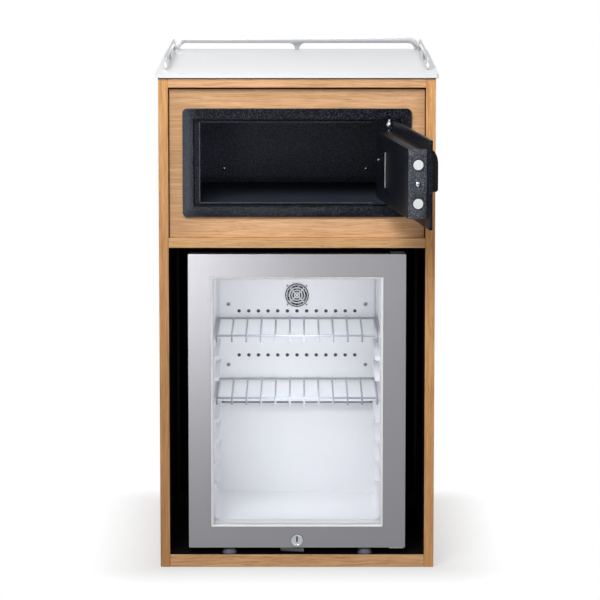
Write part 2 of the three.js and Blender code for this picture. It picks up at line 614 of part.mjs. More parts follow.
// Round guard in front of the fan: rings joined by four diagonal spokes.
function fanGrille() {
  const ringWidth = 2.2;
  const y0 = coverFrontY - 2.5;
  const rings = GRILLE_RINGS.map((radius) =>
    plateXZ(ringShape(0, FAN.z, radius, radius - ringWidth), y0, coverFrontY, 7));
  const rim = plateXZ(ringShape(0, FAN.z, FAN.bore, FAN.bore - 3.5), y0, coverFrontY, 8);
  const hub = plateXZ(ringShape(0, FAN.z, 2.5), y0, coverFrontY, 6);
  const spokes = [Math.PI / 4, -Math.PI / 4].map((angle) => {
    const bar = box([-FAN.bore + 1, y0 + 0.6, -0.9], [FAN.bore - 1, coverFrontY - 0.3, 0.9]);
    return bar.rotateY(angle).translate(0, 0, FAN.z);
  });
  return join(rim, hub, ...rings, ...spokes);
}

// The fan's square frame, with a motor boss and stub shaft held by three struts.
function fanHousing() {
  const half = FAN.size / 2;
  const y0 = coverFrontY + COVER.sheet;
  const y1 = cavityBackY - 4;
  const outline = roundedRect(-half, FAN.z - half, half, FAN.z + half, 5);
  outline.holes.push(new THREE.Path().absarc(0, FAN.z, FAN.bore, 0, 2 * Math.PI, true));
  const frame = plateXZ(outline, y0, y1, 8);
  const strutY = y1 - 3;
  const struts = [0, 1, 2].map((i) => {
    const strut = box([0, strutY, -2], [FAN.bore + 1, y1, 2]);
    return strut.rotateY(i * 2 * Math.PI / 3 + Math.PI / 2).translate(0, 0, FAN.z);
  });
  const boss = rod([0, strutY, FAN.z], [0, y1, FAN.z], FAN.hub);
  const shaft = rod([0, y0 + 3, FAN.z], [0, y1, FAN.z], FAN.shaft, 12);
  return join(frame, boss, shaft, ...struts);
}

// A bored hub with pitched blades.
function fanRotor() {
  const y0 = coverFrontY + COVER.sheet + 2;
  const y1 = cavityBackY - 4 - 3 - 1;
  const hub = plateXZ(ringShape(0, 0, FAN.hub, FAN.shaft + 0.25), y0, y1, 8);
  const chord = (y1 - y0) * 1.1;
  const blades = Array.from({ length: FAN.blades }, (_, i) => {
    const blade = box([FAN.hub - 1, -chord / 2, -0.6], [FAN.tip, chord / 2, 0.6]);
    blade.rotateX(THREE.MathUtils.degToRad(42)).translate(0, (y0 + y1) / 2, 0);
    return blade.rotateY(i * 2 * Math.PI / FAN.blades);
  });
  return join(hub, ...blades).translate(0, 0, FAN.z);
}

// A path through fixed stations, for wires with long straight runs and tight bends.
class StationPath extends THREE.Curve {
  constructor(stations) {
    super();
    this.stations = stations;
  }

  getPoint(t) {
    const at = t * (this.stations.length - 1);
    const i = Math.min(Math.floor(at), this.stations.length - 2);
    return this.stations[i].clone().lerp(this.stations[i + 1], at - i);
  }

  getPointAt(u) {
    return this.getPoint(u);
  }

  getTangentAt(u) {
    return this.getTangent(u);
  }
}

// A round wire through straight runs, with each corner rounded.
function wire(points, radius, bend, bendSteps = 3) {
  const corners = points.map((point) => new THREE.Vector3(...point));
  const stations = [corners[0]];
  for (let i = 1; i < corners.length - 1; i++) {
    const before = corners[i - 1].clone().sub(corners[i]).setLength(bend).add(corners[i]);
    const after = corners[i + 1].clone().sub(corners[i]).setLength(bend).add(corners[i]);
    stations.push(...new THREE.QuadraticBezierCurve3(before, corners[i], after).getPoints(bendSteps));
  }
  stations.push(corners[corners.length - 1]);
  const section = new THREE.Shape().absarc(0, 0, radius, 0, 2 * Math.PI);
  const extrudePath = new StationPath(stations);
  return new THREE.ExtrudeGeometry(section, { extrudePath, steps: stations.length - 1, curveSegments: 3 });
}

// A rack of parallel wires turned down at the front, welded to cross bars, resting on the liner's runners.
function wireShelf(level) {
  const r = WIRE.radius;
  const z = runnerTop(level) + r + 0.2;
  const frontY = shellFrontY + 14;
  const rearY = coverFrontY - 8;
  const lowZ = z - WIRE.drop;
  const bars = [frontY + 3, rearY].map((y) => rod([-WIRE.sideX, y, z], [WIRE.sideX, y, z], r, 8));
  const wires = Array.from({ length: WIRE.count }, (_, i) => {
    const x = (i - (WIRE.count - 1) / 2) * WIRE.pitch;
    return wire([[x, rearY - r, z + r], [x, frontY, z + r], [x, frontY, lowZ - r / 2]], r, 6);
  });
  const sides = [-1, 1].map((side) => {
    const x = side * WIRE.sideX;
    return wire([[x, rearY + r, z], [x, frontY, z], [x, frontY, lowZ - r / 2]], r, 6);
  });
  return join(...bars, ...sides, ...wires);
}

// The chrome keeper under the door: the lock's cam drops behind its block, and a riser joins it to the shell.
function lockCatch() {
  const left = -31;
  const right = 13;
  const strapZ = BOTTOM_BOARD + 2;
  const blockTop = FRIDGE_DOOR.bottom - 1;
  const strap = box([left, doorFrontY + 6, strapZ], [right, shellFrontY + 40, strapZ + 3]);
  const block = box([left, doorFrontY + 6, strapZ], [right, doorBackY - 3, blockTop]);
  const riser = box([left, shellFrontY + 10, strapZ], [right, shellFrontY + 40, SHELL.bottom]);
  return join(strap, block, riser);
}

// A hinge leaf on the shell's top or underside that reaches over the door's edge, with a pin into the door.
function doorHinge(doorEdge, shellEdge, side) {
  const reach = 15;
  const leafNear = doorEdge + side * 0.5;
  const leafFar = leafNear + side * 3;
  const pivotY = doorFrontY + DOOR_PIVOT.behindFront;
  const between = (za, zb, y0, y1) => box(
    [DOOR_PIVOT.x - reach, y0, Math.min(za, zb)],
    [SHELL.half - 1, y1, Math.max(za, zb)],
  );
  const leaf = between(leafNear, leafFar, pivotY - 8, shellFrontY + 45);
  const foot = between(shellEdge, leafFar, shellFrontY + 5, shellFrontY + 45);
  const pinEnd = doorEdge - side * 12;
  const pin = rod([DOOR_PIVOT.x, pivotY, leafFar], [DOOR_PIVOT.x, pivotY, pinEnd], DOOR_PIVOT.pin, 16);
  return join(leaf, foot, pin);
}

// Four round feet under the shell, standing on the bottom board.
function addFeet(group) {
  const { radius } = FOOT;
  const height = SHELL.bottom - BOTTOM_BOARD;
  const stem = radius - 5;
  const profile = [[0, 0], [radius - 2, 0], [radius, 2], [radius, 9], [stem, 12], [stem, height], [0, height]];
  const points = profile.map((point) => new THREE.Vector2(...point));
  const foot = new THREE.LatheGeometry(points, 12).rotateX(Math.PI / 2);
  const rows = { front: shellFrontY + FOOT.fromFront - 45, rear: shellBackY - FOOT.fromBack };
  for (const [row, y] of Object.entries(rows)) {
    for (const [hand, side] of [['left', -1], ['right', 1]]) {
      const mesh = addPiece(group, 'fridge_foot_' + row + '_' + hand, foot.clone(), BLACK_PLASTIC);
      mesh.position.set(side * FOOT.x, y, BOTTOM_BOARD);
    }
  }
}

// A domed compressor can on its base plate, standing on the floor of its bay.
function compressor() {
  const floorZ = SHELL.bottom + 6;
  const lower = [[0, 2], [38, 2], [42, 8], [42, 52], [44, 54]];
  const dome = [[44, 60], [42, 62], [42, 92], [30, 108], [0, 112]];
  const points = [...lower, ...dome].map((point) => new THREE.Vector2(...point));
  const can = new THREE.LatheGeometry(points, 24).rotateX(Math.PI / 2);
  const base = plateXY(roundedRect(-70, -43, 70, 43, 10), 0, 3, 3);
  return join(can, base).translate(-70, shellBackY - 45, floorZ);
}

// One unbroken serpentine tube on two straps that hold it to the shell's back.
function condenserCoil() {
  const radius = 2.5;
  const rows = 8;
  const rowPitch = 46;
  const half = 165;
  const firstZ = SHELL.bottom + 170;
  const y = shellBackY + 5;
  const points = Array.from({ length: rows }, (_, row) => {
    const side = row % 2 === 0 ? 1 : -1;
    const z = firstZ + row * rowPitch;
    return [[-side * half, y, z], [side * half, y, z]];
  }).flat();
  const tube = wire(points, radius, rowPitch / 2);
  const lastZ = firstZ + (rows - 1) * rowPitch;
  const straps = [-110, 110].map((x) => box([x - 6, shellBackY, firstZ - 8], [x + 6, y, lastZ + 8]));
  return join(tube, ...straps);
}

// The refrigerator's door, drawn shut about its hinge axis: steel face, glass pane, inner frame and seal.
function makeFridgeDoor() {
  const group = new THREE.Group();
  addPiece(group, 'door_frame', doorFrame(), BRUSHED_STEEL);
  addPiece(group, 'door_glass', doorGlass(), GLASS);
  addPiece(group, 'door_inner_frame', doorInnerFrame(), WHITE_PLASTIC);
  addPiece(group, 'door_gasket', doorGasket(), GREY_PLASTIC);
  addPiece(group, 'door_lock_cylinder', lockCylinder(), BRIGHT_STEEL);
  addPiece(group, 'door_lock_cam', lockCam(), BRUSHED_STEEL);
  return group;
}

// A rectangle in the door's plane, grown or shrunk from the door's edge.
function doorRect(inset, radius) {
  const half = FRIDGE_DOOR.width / 2 - inset;
  return roundedRect(-half, FRIDGE_DOOR.bottom + inset, half, FRIDGE_DOOR.top - inset, radius);
}

// A rectangle in the door's plane, grown or shrunk from the window's edge.
function windowRect(margin) {
  return rectangle(-WINDOW.half - margin, WINDOW.bottom - margin, WINDOW.half + margin, WINDOW.top + margin);
}

const paneBackY = doorFrontY + FRIDGE_DOOR.sheet + 0.3 + 5;
const paneMargin = 10;

// The bores through a door piece for the two hinge pins and the lock.
function doorBores(lockRadius) {
  const pivotY = doorFrontY + DOOR_PIVOT.behindFront;
  const { x, hole } = DOOR_PIVOT;
  return [
    rod([x, pivotY, FRIDGE_DOOR.bottom - 1], [x, pivotY, FRIDGE_DOOR.bottom + 14], hole, 16),
    rod([x, pivotY, FRIDGE_DOOR.top - 14], [x, pivotY, FRIDGE_DOOR.top + 1], hole, 16),
    rod([0, doorFrontY - 5, LOCK.z], [0, doorBackY + 5, LOCK.z], lockRadius),
  ];
}

// Folded steel: a flat face round the window and a skirt turned back round the door's edge.
function doorFrame() {
  const { sheet, skirt } = FRIDGE_DOOR;
  const face = plateXZ(frameShape(doorRect(0, 2), windowRect(0)), doorFrontY, doorFrontY + sheet, 3);
  const rim = frameShape(doorRect(0, 2), doorRect(sheet, 1));
  const edge = plateXZ(rim, doorFrontY + sheet - 1, doorFrontY + skirt, 3);
  return cut(join(face, edge), ...doorBores(LOCK.radius + 0.3));
}

function doorGlass() {
  const y0 = doorFrontY + FRIDGE_DOOR.sheet + 0.3;
  return plateXZ(windowRect(paneMargin), y0, paneBackY);
}

// The moulded frame behind the pane: rebated for the glass and open at the window.
function doorInnerFrame() {
  const y0 = doorFrontY + FRIDGE_DOOR.sheet + 0.3;
  const outer = doorRect(FRIDGE_DOOR.sheet + 0.3, 1);
  const body = plateXZ(frameShape(outer, windowRect(-5)), y0, doorBackY, 3);
  const rebate = plateXZ(windowRect(paneMargin + 0.5), y0 - 1, paneBackY + 0.3);
  const lockHole = rod([0, y0 - 1, LOCK.z], [0, y0 + 14.3, LOCK.z], LOCK.radius + 0.3);
  return cut(body, rebate, ...doorBores(LOCK.barrel + 0.3), lockHole);
}

// The magnetic seal: a hollow-grooved ring round the cavity's mouth.
function doorGasket() {
  const y0 = doorBackY + 0.2;
  const y1 = shellFrontY - CAVITY.skin - 0.3;
  const inner = 3;
  const ring = frameShape(cavityOutline(inner + GASKET_WIDTH), cavityOutline(inner));
  const groove = frameShape(cavityOutline(inner + GASKET_WIDTH - 5), cavityOutline(inner + 5));
  return cut(plateXZ(ring, y0, y1, 2), plateXZ(groove, y1 - 1.2, y1 + 1, 2));
}

// The lock's cylinder: a proud collar with a key slot, on a narrower barrel through the door.
function lockCylinder() {
  const collarBack = doorFrontY + FRIDGE_DOOR.sheet + 14;
  const collar = rod([0, doorFrontY - LOCK.proud, LOCK.z], [0, collarBack, LOCK.z], LOCK.radius);
  const barrel = rod([0, collarBack - 1, LOCK.z], [0, doorBackY, LOCK.z], LOCK.barrel);
  const keySlot = box([-1, doorFrontY - LOCK.proud - 1, LOCK.z - 5], [1, doorFrontY + 4, LOCK.z + 5]);
  return cut(join(collar, barrel), keySlot);
}

// The flat cam on the barrel's end, lying sideways while the door is unlocked.
function lockCam() {
  const reach = 20;
  const cam = roundedRect(-7, LOCK.z - 5, reach, LOCK.z + 5, 3);
  return plateXZ(cam, doorBackY + 0.2, doorBackY + 3.2, 3);
}

const minibar = new THREE.Group();
minibar.add(makeCase(), makeCounter(), makeSafe(), makeSafeDoor(), makeFridge(), makeFridgeDoor());

export default minibar;
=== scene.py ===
"""Looks of the hotel minibar cabinet: finishes, small fittings, light and camera.

Lengths are metres in the part's frame: X to the right, Y to the back, Z up from the floor.
"""

import json
import math

import bmesh
import bpy
from mathutils import Matrix, Vector


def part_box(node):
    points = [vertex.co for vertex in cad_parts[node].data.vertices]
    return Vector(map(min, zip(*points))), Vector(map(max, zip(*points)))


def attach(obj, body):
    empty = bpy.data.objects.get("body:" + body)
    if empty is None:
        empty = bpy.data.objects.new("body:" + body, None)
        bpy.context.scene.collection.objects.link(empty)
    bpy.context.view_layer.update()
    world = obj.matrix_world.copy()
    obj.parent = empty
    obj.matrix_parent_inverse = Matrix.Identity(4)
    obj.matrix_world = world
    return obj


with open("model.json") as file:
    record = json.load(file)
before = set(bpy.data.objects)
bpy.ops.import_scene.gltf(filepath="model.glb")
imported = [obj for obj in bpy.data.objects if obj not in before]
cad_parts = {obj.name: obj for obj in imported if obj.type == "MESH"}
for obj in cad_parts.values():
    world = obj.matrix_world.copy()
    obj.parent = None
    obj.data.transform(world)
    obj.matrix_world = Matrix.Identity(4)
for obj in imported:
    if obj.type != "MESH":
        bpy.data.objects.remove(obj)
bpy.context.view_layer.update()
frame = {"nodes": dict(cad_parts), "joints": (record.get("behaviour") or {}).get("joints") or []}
nodes = frame["nodes"]
scene = bpy.context.scene


def front_centre(node):
    """The middle of the front face of a solid's box."""
    low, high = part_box(node)
    return Vector(((low.x + high.x) / 2, low.y, (low.z + high.z) / 2))


# Corners of the case, the fascia round the safe and the air cover, and the top of the bottom board
CASE_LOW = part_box("side_panel_left")[0]
CASE_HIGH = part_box("side_panel_right")[1]
FASCIA_LOW, FASCIA_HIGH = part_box("safe_fascia")
COVER_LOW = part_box("evaporator_cover")[0]
BASE_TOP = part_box("bottom_board")[1].z

# The lower bay is painted black inside as its shade, from just inside the boards' faces
BAY_SHADE_INSET = 0.0005
BAY_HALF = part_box("side_panel_right")[0].x + BAY_SHADE_INSET
BAY_BOTTOM = BASE_TOP - BAY_SHADE_INSET
BAY_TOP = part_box("divider_board")[0].z + BAY_SHADE_INSET
BAY_FRONT = CASE_LOW.y + BAY_SHADE_INSET

# The back panel is bare board in its outer millimetre, and painted black as shade inward of it
BOARD_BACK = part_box("back_panel")[1].y - 0.001

# The safe's door: its hinge, how far it stands open, and the frame that its fittings are set out in
SAFE_HINGE = next(joint for joint in frame["joints"] if joint["name"] == "safe_door_hinge")
SAFE_PIVOT = Vector(SAFE_HINGE["pos_m"])
SAFE_OPEN = -math.radians(SAFE_HINGE["range_deg"][0])
DOOR = Matrix.Translation(SAFE_PIVOT) @ Matrix.Rotation(SAFE_OPEN, 4, "Z")
DOOR_TURN = DOOR.to_3x3()
DOOR_OUT = DOOR_TURN @ Vector((0, -1, 0))

# The fan's grille, the width of the dark line painted as shade round its rim, and the depth of its pale
# face, behind which it is painted dark as shade
FAN_CENTRE = front_centre("fan_grille")
GRILLE_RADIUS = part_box("fan_grille")[1].x
GRILLE_SHADOW_LINE = 0.0024
GRILLE_FACE = 0.0009

# Stands a level strip upright
UPRIGHT = Matrix.Rotation(math.pi / 2, 4, "Y")

# Half-round section of the dark line painted as shadow under the counter top, as (inward, up) from the
# case's top edge
COUNTER_SHADOW = [(0.0, 0.0), (-0.0006, -0.0002), (-0.0009, -0.0010), (-0.0006, -0.0018), (0.0, -0.0020)]

# Widths of the dark strips painted as shadow at the fascia's sides
FASCIA_SHADOW_WIDTH = {"top": 0.0036, "left": 0.0018, "right": 0.0020}

# Half outline of the pads at the front of the bottom board, and how far forward they stand
PAD = [
    (0, 0), (0.0135, 0), (0.0135, 0.0028), (0.0120, 0.0034),
    (0.0112, 0.0078), (0.0098, 0.0088), (0, 0.0088),
]
PAD_Y = -0.263

# Anchor bolts on the safe's back wall
ANCHOR_X = {"left": -0.142, "right": 0.135}
ANCHOR_Y = 0.0908
ANCHOR_Z = 0.704
ANCHOR_RADIUS = 0.0036

# Half outline of the stepped collar on each of the safe's hinge pins, and its rise from the door's middle
COLLAR = [
    (0.0037, 0.0), (0.0060, 0.0), (0.0060, 0.0024), (0.0082, 0.0030),
    (0.0082, 0.0052), (0.0060, 0.0058), (0.0052, 0.0090), (0.0037, 0.0096),
]
COLLAR_RISE = 0.0745

# Section of the dark line painted as shadow in the safe's rebate, as (inward, y), and the opening that it
# runs round
REBATE_SHADOW = [(0, -0.26702), (0, -0.26716), (0.0017, -0.26716), (0.0017, -0.26702)]
REBATE_HALF = 0.1899
REBATE_BOTTOM = 0.6781
REBATE_TOP = 0.8369

# Section of the light line painted as a highlight on the edge of the safe's lip, as (back, across), with
# each run's middle and length
LIP_HIGHLIGHT = [(-0.00002, -0.0007), (-0.00016, -0.0005), (-0.00016, 0.0005), (-0.00002, 0.0007)]
LIP_HIGHLIGHT_Y = -0.267
LIP_HIGHLIGHT_SIDE = {"x": -0.1787, "length": 0.148}
LIP_HIGHLIGHT_LEVEL = {"x": -0.019, "length": 0.316, "bottom": 0.6823, "top": 0.8317}

# Fittings on the safe's door, from its hinge with the door shut: X to the right, Y into the safe, Z up
COVER_END = 0.3338
END_STUD = Vector((-0.335, 0.012, 0.0))
END_STUD_RADIUS = 0.0042
COVER_STUD = Vector((-0.040, 0.029, 0.010))
COVER_STUD_RADIUS = 0.0024
SLOT = Vector((-0.1198, 0.029, 0))
SLOT_LENGTH = 0.063
LENS_X = {"lens_red": -0.2975, "lens_green": -0.2775}
LENS_Y = -0.02095
LENS_Z = 0.0408
BEZEL_SCREW_X = (-0.324, -0.251)
BEZEL_SCREW_Y = -0.01905
BEZEL_SCREW_Z = 0.0495
BEZEL_SCREW_RADIUS = 0.0022
BEZEL_SLOPE = Vector((0, -0.945, 0.327))

# Section of the turned-out lip along the slot in the lock cover, as (into the safe, across)
LIP = [
    (-0.0004, 0.0), (0.0016, -0.0003), (0.0019, 0.0002),
    (0.0017, 0.0012), (0.0006, 0.0022), (-0.0004, 0.0024),
]

# Half outline of the lamps beside the keys
LENS = [(0, -0.0006), (0.0016, -0.0006), (0.0016, 0.0003), (0.0010, 0.0009), (0, 0.0011)]

# Digits on the keys: their height and half thickness, and their distance from a key's middle
MARK_SIZE = 0.0062
MARK_HALF_THICKNESS = 0.00008
MARK_RISE = 0.00408

# Section of the filter strips behind the rows of air holes, as (back, up)
FILTER = [(0, -0.0044), (0.0005, -0.0044), (0.0005, 0.0044), (0, 0.0044)]
FILTER_LENGTH = 0.262
FILTER_Y = -0.0051
FILTER_Z = (0.439, 0.353)

# Section of the dark line painted as shadow under the air cover, as (back, up)
COVER_SHADOW = [(0, 0), (0, -0.0022), (0.0008, -0.0028), (0.0026, -0.0028), (0.0026, 0)]
COVER_SHADOW_LENGTH = 0.292
COVER_SHADOW_RISE = 0.0001

# Section of the flanges beside the air cover, as (back, across)
WING = [(0, -0.0077), (-0.0007, -0.0074), (-0.0010, -0.0068), (-0.0010, 0.0076), (0, 0.0076)]
WING_LENGTH = 0.268
WING_X = {"left": -0.1580, "right": 0.1580}
WING_Y = -0.0044
WING_Z = 0.404

# Screws in the air cover, and in the grille from its centre
COVER_SCREW_X = (-0.132, 0.132)
COVER_SCREW_Z = (0.4525, 0.3346)
COVER_SCREW_RADIUS = 0.0038
COVER_SCREW_PROUD = 0.0001
GRILLE_SCREW_OUT = 0.0184
GRILLE_SCREW_BACK = 0.0024
GRILLE_SCREW_RADIUS = 0.0019

# Section of the bead that holds the door's glass, as (inward, y), and the opening that it runs round
BEAD = [(0, -0.2729), (0, -0.2755), (0.0012, -0.2757), (0.0038, -0.2740), (0.0040, -0.2729)]
BEAD_HALF = 0.1592
BEAD_BOTTOM = 0.0753
BEAD_TOP = 0.5447

# Half outline of the rimmed face of the door's lock, and the section of the dark strip painted as shade
# for its keyway, as (back, across)
LOCK_CENTRE = front_centre("door_lock_cylinder")
LOCK_FACE = [
    (0, 0.0003), (0.0075, 0.0003), (0.0082, 0.0010), (0.0096, 0.0012),
    (0.0108, 0.0006), (0.0109, -0.0004), (0, -0.0004),
]
KEYWAY = [(0, -0.0014), (-0.0006, -0.0012), (-0.0006, 0.0012), (0, 0.0014)]
KEYWAY_LENGTH = 0.0105
KEYWAY_SHIFT = Vector((0, -0.0003, 0.0025))

# Edges that turn by more than this are rounded or kept sharp, on the solids and on turned pieces
SHARP_ANGLE = math.radians(38)
TURNED_SHARP_ANGLE = math.radians(40)

# Vertices of a solid closer than this are one
WELD_GAP = 0.000002

# How far the cross in a screw's head is turned, in radians
RECESS_TURN = 0.4

# The floor: its drop below the case, its size, and the reach of the shadow and the white left in it
FLOOR_DROP = 0.0005
FLOOR_SIZE = 80
SHADOW_REACH = 0.13
SHADOW_WHITE = 0.55

# How strongly the white surroundings light the object, where the eye doesn't see them
SURROUND_LIGHT = 0.22

# Soft lights: name, place, aim, width and height, and watts
LAMPS = [
    ("key", (-0.50, -1.75, 2.05), (0, -0.28, 0.90), (0.9, 0.7), 11.5),
    ("fill", (1.0, -2.6, 0.9), (0, -0.2, 0.6), (1.5, 1.2), 7.5),
    ("top", (0.1, 0.3, 2.6), (0, 0.0, 0.9), (1.4, 1.4), 7.5),
    ("wash left", (-2.4, 0.5, 0.48), (0, 0, 0.48), (1.4, 0.7), 9),
    ("wash right", (2.4, 0.5, 0.48), (0, 0, 0.48), (1.4, 0.7), 9),
    ("wash back", (0.0, 3.0, 0.48), (0, 0, 0.48), (1.4, 0.7), 9),
    ("sheen", (-0.37, -1.26, 0.50), (-0.2, -0.28, 0.60), (0.14, 0.40), 6.6),
    ("cavity", (0, -0.2660, 0.365), (0, 0.0, 0.365), (0.12, 0.34), 0.52),
]
KEY_SPREAD = math.radians(95)
METAL_FACES = ("door_frame", "safe_body", "safe_door_plate", "safe_lock_cover")

# Where the camera stands, and its lens and sensor in millimetres
CAMERA_FROM = Vector((0.0, -6.28, 1.45))
CAMERA_TILT = math.radians(7.61)
CAMERA_LENS = 197.7
CAMERA_SENSOR = 36.0
CAMERA_SHIFT = (0.005, -0.13)
CAMERA_REACH = 200.0

# Dark, middle and light tones of the oak boards, set lighter or darker board by board as painted light
# and shade: the right side lightest, the bottom board darkest
OAK_LEFT = [(0.430, 0.206, 0.076), (0.650, 0.338, 0.142), (0.790, 0.445, 0.215)]
OAK_RIGHT = [(0.470, 0.220, 0.078), (0.730, 0.376, 0.152), (0.880, 0.500, 0.236)]
OAK_BASE = [(0.400, 0.205, 0.086), (0.600, 0.340, 0.164), (0.720, 0.445, 0.245)]
OAK_DIVIDER = [(0.418, 0.217, 0.088), (0.623, 0.363, 0.168), (0.757, 0.476, 0.250)]
OAK_BOARD = [(0.470, 0.244, 0.110), (0.700, 0.408, 0.210), (0.850, 0.535, 0.312)]
# Painted shade: black on the boards inside the lower bay
BAY_SHADE_BLACK = (0.0006, 0.0006, 0.0007)

# Dark, middle and light tones of the safe's coat, of its inside and of its lock cover's end; the inside
# and the end are lighter as painted light, and the left flange's tone is a painted sheen
SAFE_TONES = [(0.0008, 0.0012, 0.0024), (0.0042, 0.0056, 0.0100), (0.050, 0.058, 0.080)]
INSIDE_LIT_TONES = [(0.048, 0.053, 0.078), (0.105, 0.116, 0.166), (0.240, 0.260, 0.350)]
END_LIT_TONES = [(0.027, 0.031, 0.041), (0.080, 0.088, 0.106), (0.200, 0.213, 0.242)]
FLANGE_LEFT_SHEEN = (0.082, 0.092, 0.116)

# Where the safe's coat turns from one tone to the next: to the painted light inside, to the painted sheen
# on the left flange, and to the painted shade on the floor inside
INSIDE_FROM_Y = (-0.2630, -0.2540)
FLANGE_LEFT_X = (-0.212, -0.184)
SAFE_FLOOR_SHADE_Z = (0.684, 0.692)


def dim(colour, share):
    """A colour brought down to a share of itself."""
    return tuple(share * part for part in colour)


def drawn_out(axis, squeeze):
    """A scale that draws a pattern out along one axis."""
    return tuple(squeeze if letter == axis else 1.0 for letter in "XYZ")


class Shader:
    """A material's nodes, with a short way to add and join them."""

    def __init__(self, name):
        self.material = bpy.data.materials.new(name)
        self.material.use_nodes = True
        tree = self.material.node_tree
        self.nodes = tree.nodes
        self.links = tree.links
        self.surface = self.nodes["Principled BSDF"]
        self.place = self.nodes.new("ShaderNodeTexCoord").outputs["Object"]

    def put(self, socket, value):
        """Sets a socket to a constant, or joins another socket to it."""
        if isinstance(value, bpy.types.NodeSocket):
            self.links.new(value, socket)
        else:
            socket.default_value = value

    def set(self, **values):
        """Sets the surface's own sockets."""
        for name, value in values.items():
            self.put(self.surface.inputs[name.replace("_", " ")], value)

    def mixed(self, share, first, second):
        """Makes the surface a mix of two shaders."""
        mix = self.nodes.new("ShaderNodeMixShader")
        self.put(mix.inputs[0], share)
        self.links.new(first.outputs[0], mix.inputs[1])
        self.links.new(second.outputs[0], mix.inputs[2])
        self.links.new(mix.outputs[0], self.nodes["Material Output"].inputs["Surface"])

    def stretch(self, scale, vector=None):
        """The place on the object, scaled along each axis."""
        node = self.nodes.new("ShaderNodeMapping")
        self.put(node.inputs["Vector"], vector or self.place)
        node.inputs["Scale"].default_value = scale
        return node.outputs["Vector"]

    def warp(self, amount, scale):
        """The place on the object, shifted about by a slow noise."""
        cloud = self.nodes.new("ShaderNodeTexNoise")
        self.put(cloud.inputs["Vector"], self.place)
        cloud.inputs["Scale"].default_value = scale
        cloud.inputs["Detail"].default_value = 1.0
        shift = self.nodes.new("ShaderNodeVectorMath")
        shift.operation = "MULTIPLY_ADD"
        self.put(shift.inputs[0], cloud.outputs["Color"])
        shift.inputs[1].default_value = (amount, amount, amount)
        self.put(shift.inputs[2], self.place)
        return shift.outputs[0]

    def noise(self, scale, detail=3.0, rough=0.5, vector=None):
        """Cloudy noise, with so many clouds to the metre."""
        node = self.nodes.new("ShaderNodeTexNoise")
        self.put(node.inputs["Vector"], vector or self.place)
        node.inputs["Scale"].default_value = scale
        node.inputs["Detail"].default_value = detail
        node.inputs["Roughness"].default_value = rough
        return node.outputs["Fac"]

    def cells(self, scale):
        """Soft round cells, with so many to the metre."""
        node = self.nodes.new("ShaderNodeTexVoronoi")
        node.feature = "SMOOTH_F1"
        self.put(node.inputs["Vector"], self.place)
        node.inputs["Scale"].default_value = scale
        return node.outputs["Distance"]

    def math(self, kind, a, b=0.0):
        """One step of arithmetic."""
        node = self.nodes.new("ShaderNodeMath")
        node.operation = kind
        self.put(node.inputs[0], a)
        self.put(node.inputs[1], b)
        return node.outputs[0]

    def total(self, *shares):
        """Values added up, each times its share."""
        parts = [self.math("MULTIPLY", value, share) for value, share in shares]
        added = parts[0]
        for part in parts[1:]:
            added = self.math("ADD", added, part)
        return added

    def part(self, axis):
        """One coordinate of the place on the object."""
        node = self.nodes.new("ShaderNodeSeparateXYZ")
        self.put(node.inputs[0], self.place)
        return node.outputs[axis]

    def ramp(self, value, stops):
        """A run of colours along a value from 0 to 1."""
        node = self.nodes.new("ShaderNodeValToRGB")
        self.put(node.inputs["Fac"], value)
        marks = node.color_ramp.elements
        while len(marks) < len(stops):
            marks.new(0.5)
        for mark, (at, colour) in zip(marks, stops):
            mark.position = at
            mark.color = (*colour, 1.0)
        return node.outputs["Color"]

    def blend(self, share, a, b):
        """Colour a turning to colour b."""
        node = self.nodes.new("ShaderNodeMix")
        node.data_type = "RGBA"
        self.put(node.inputs[0], share)
        self.put(node.inputs[6], a if isinstance(a, bpy.types.NodeSocket) else (*a, 1.0))
        self.put(node.inputs[7], b if isinstance(b, bpy.types.NodeSocket) else (*b, 1.0))
        return node.outputs[2]

    def span(self, value, low, high, start=0.0, end=1.0):
        """A value between start and end brought to another span."""
        node = self.nodes.new("ShaderNodeMapRange")
        self.put(node.inputs["Value"], value)
        node.inputs["From Min"].default_value = start
        node.inputs["From Max"].default_value = end
        node.inputs["To Min"].default_value = low
        node.inputs["To Max"].default_value = high
        return node.outputs["Result"]

    def bump(self, height, strength, distance):
        """A fine relief on the surface."""
        node = self.nodes.new("ShaderNodeBump")
        self.put(node.inputs["Height"], height)
        node.inputs["Strength"].default_value = strength
        node.inputs["Distance"].default_value = distance
        self.put(self.surface.inputs["Normal"], node.outputs["Normal"])


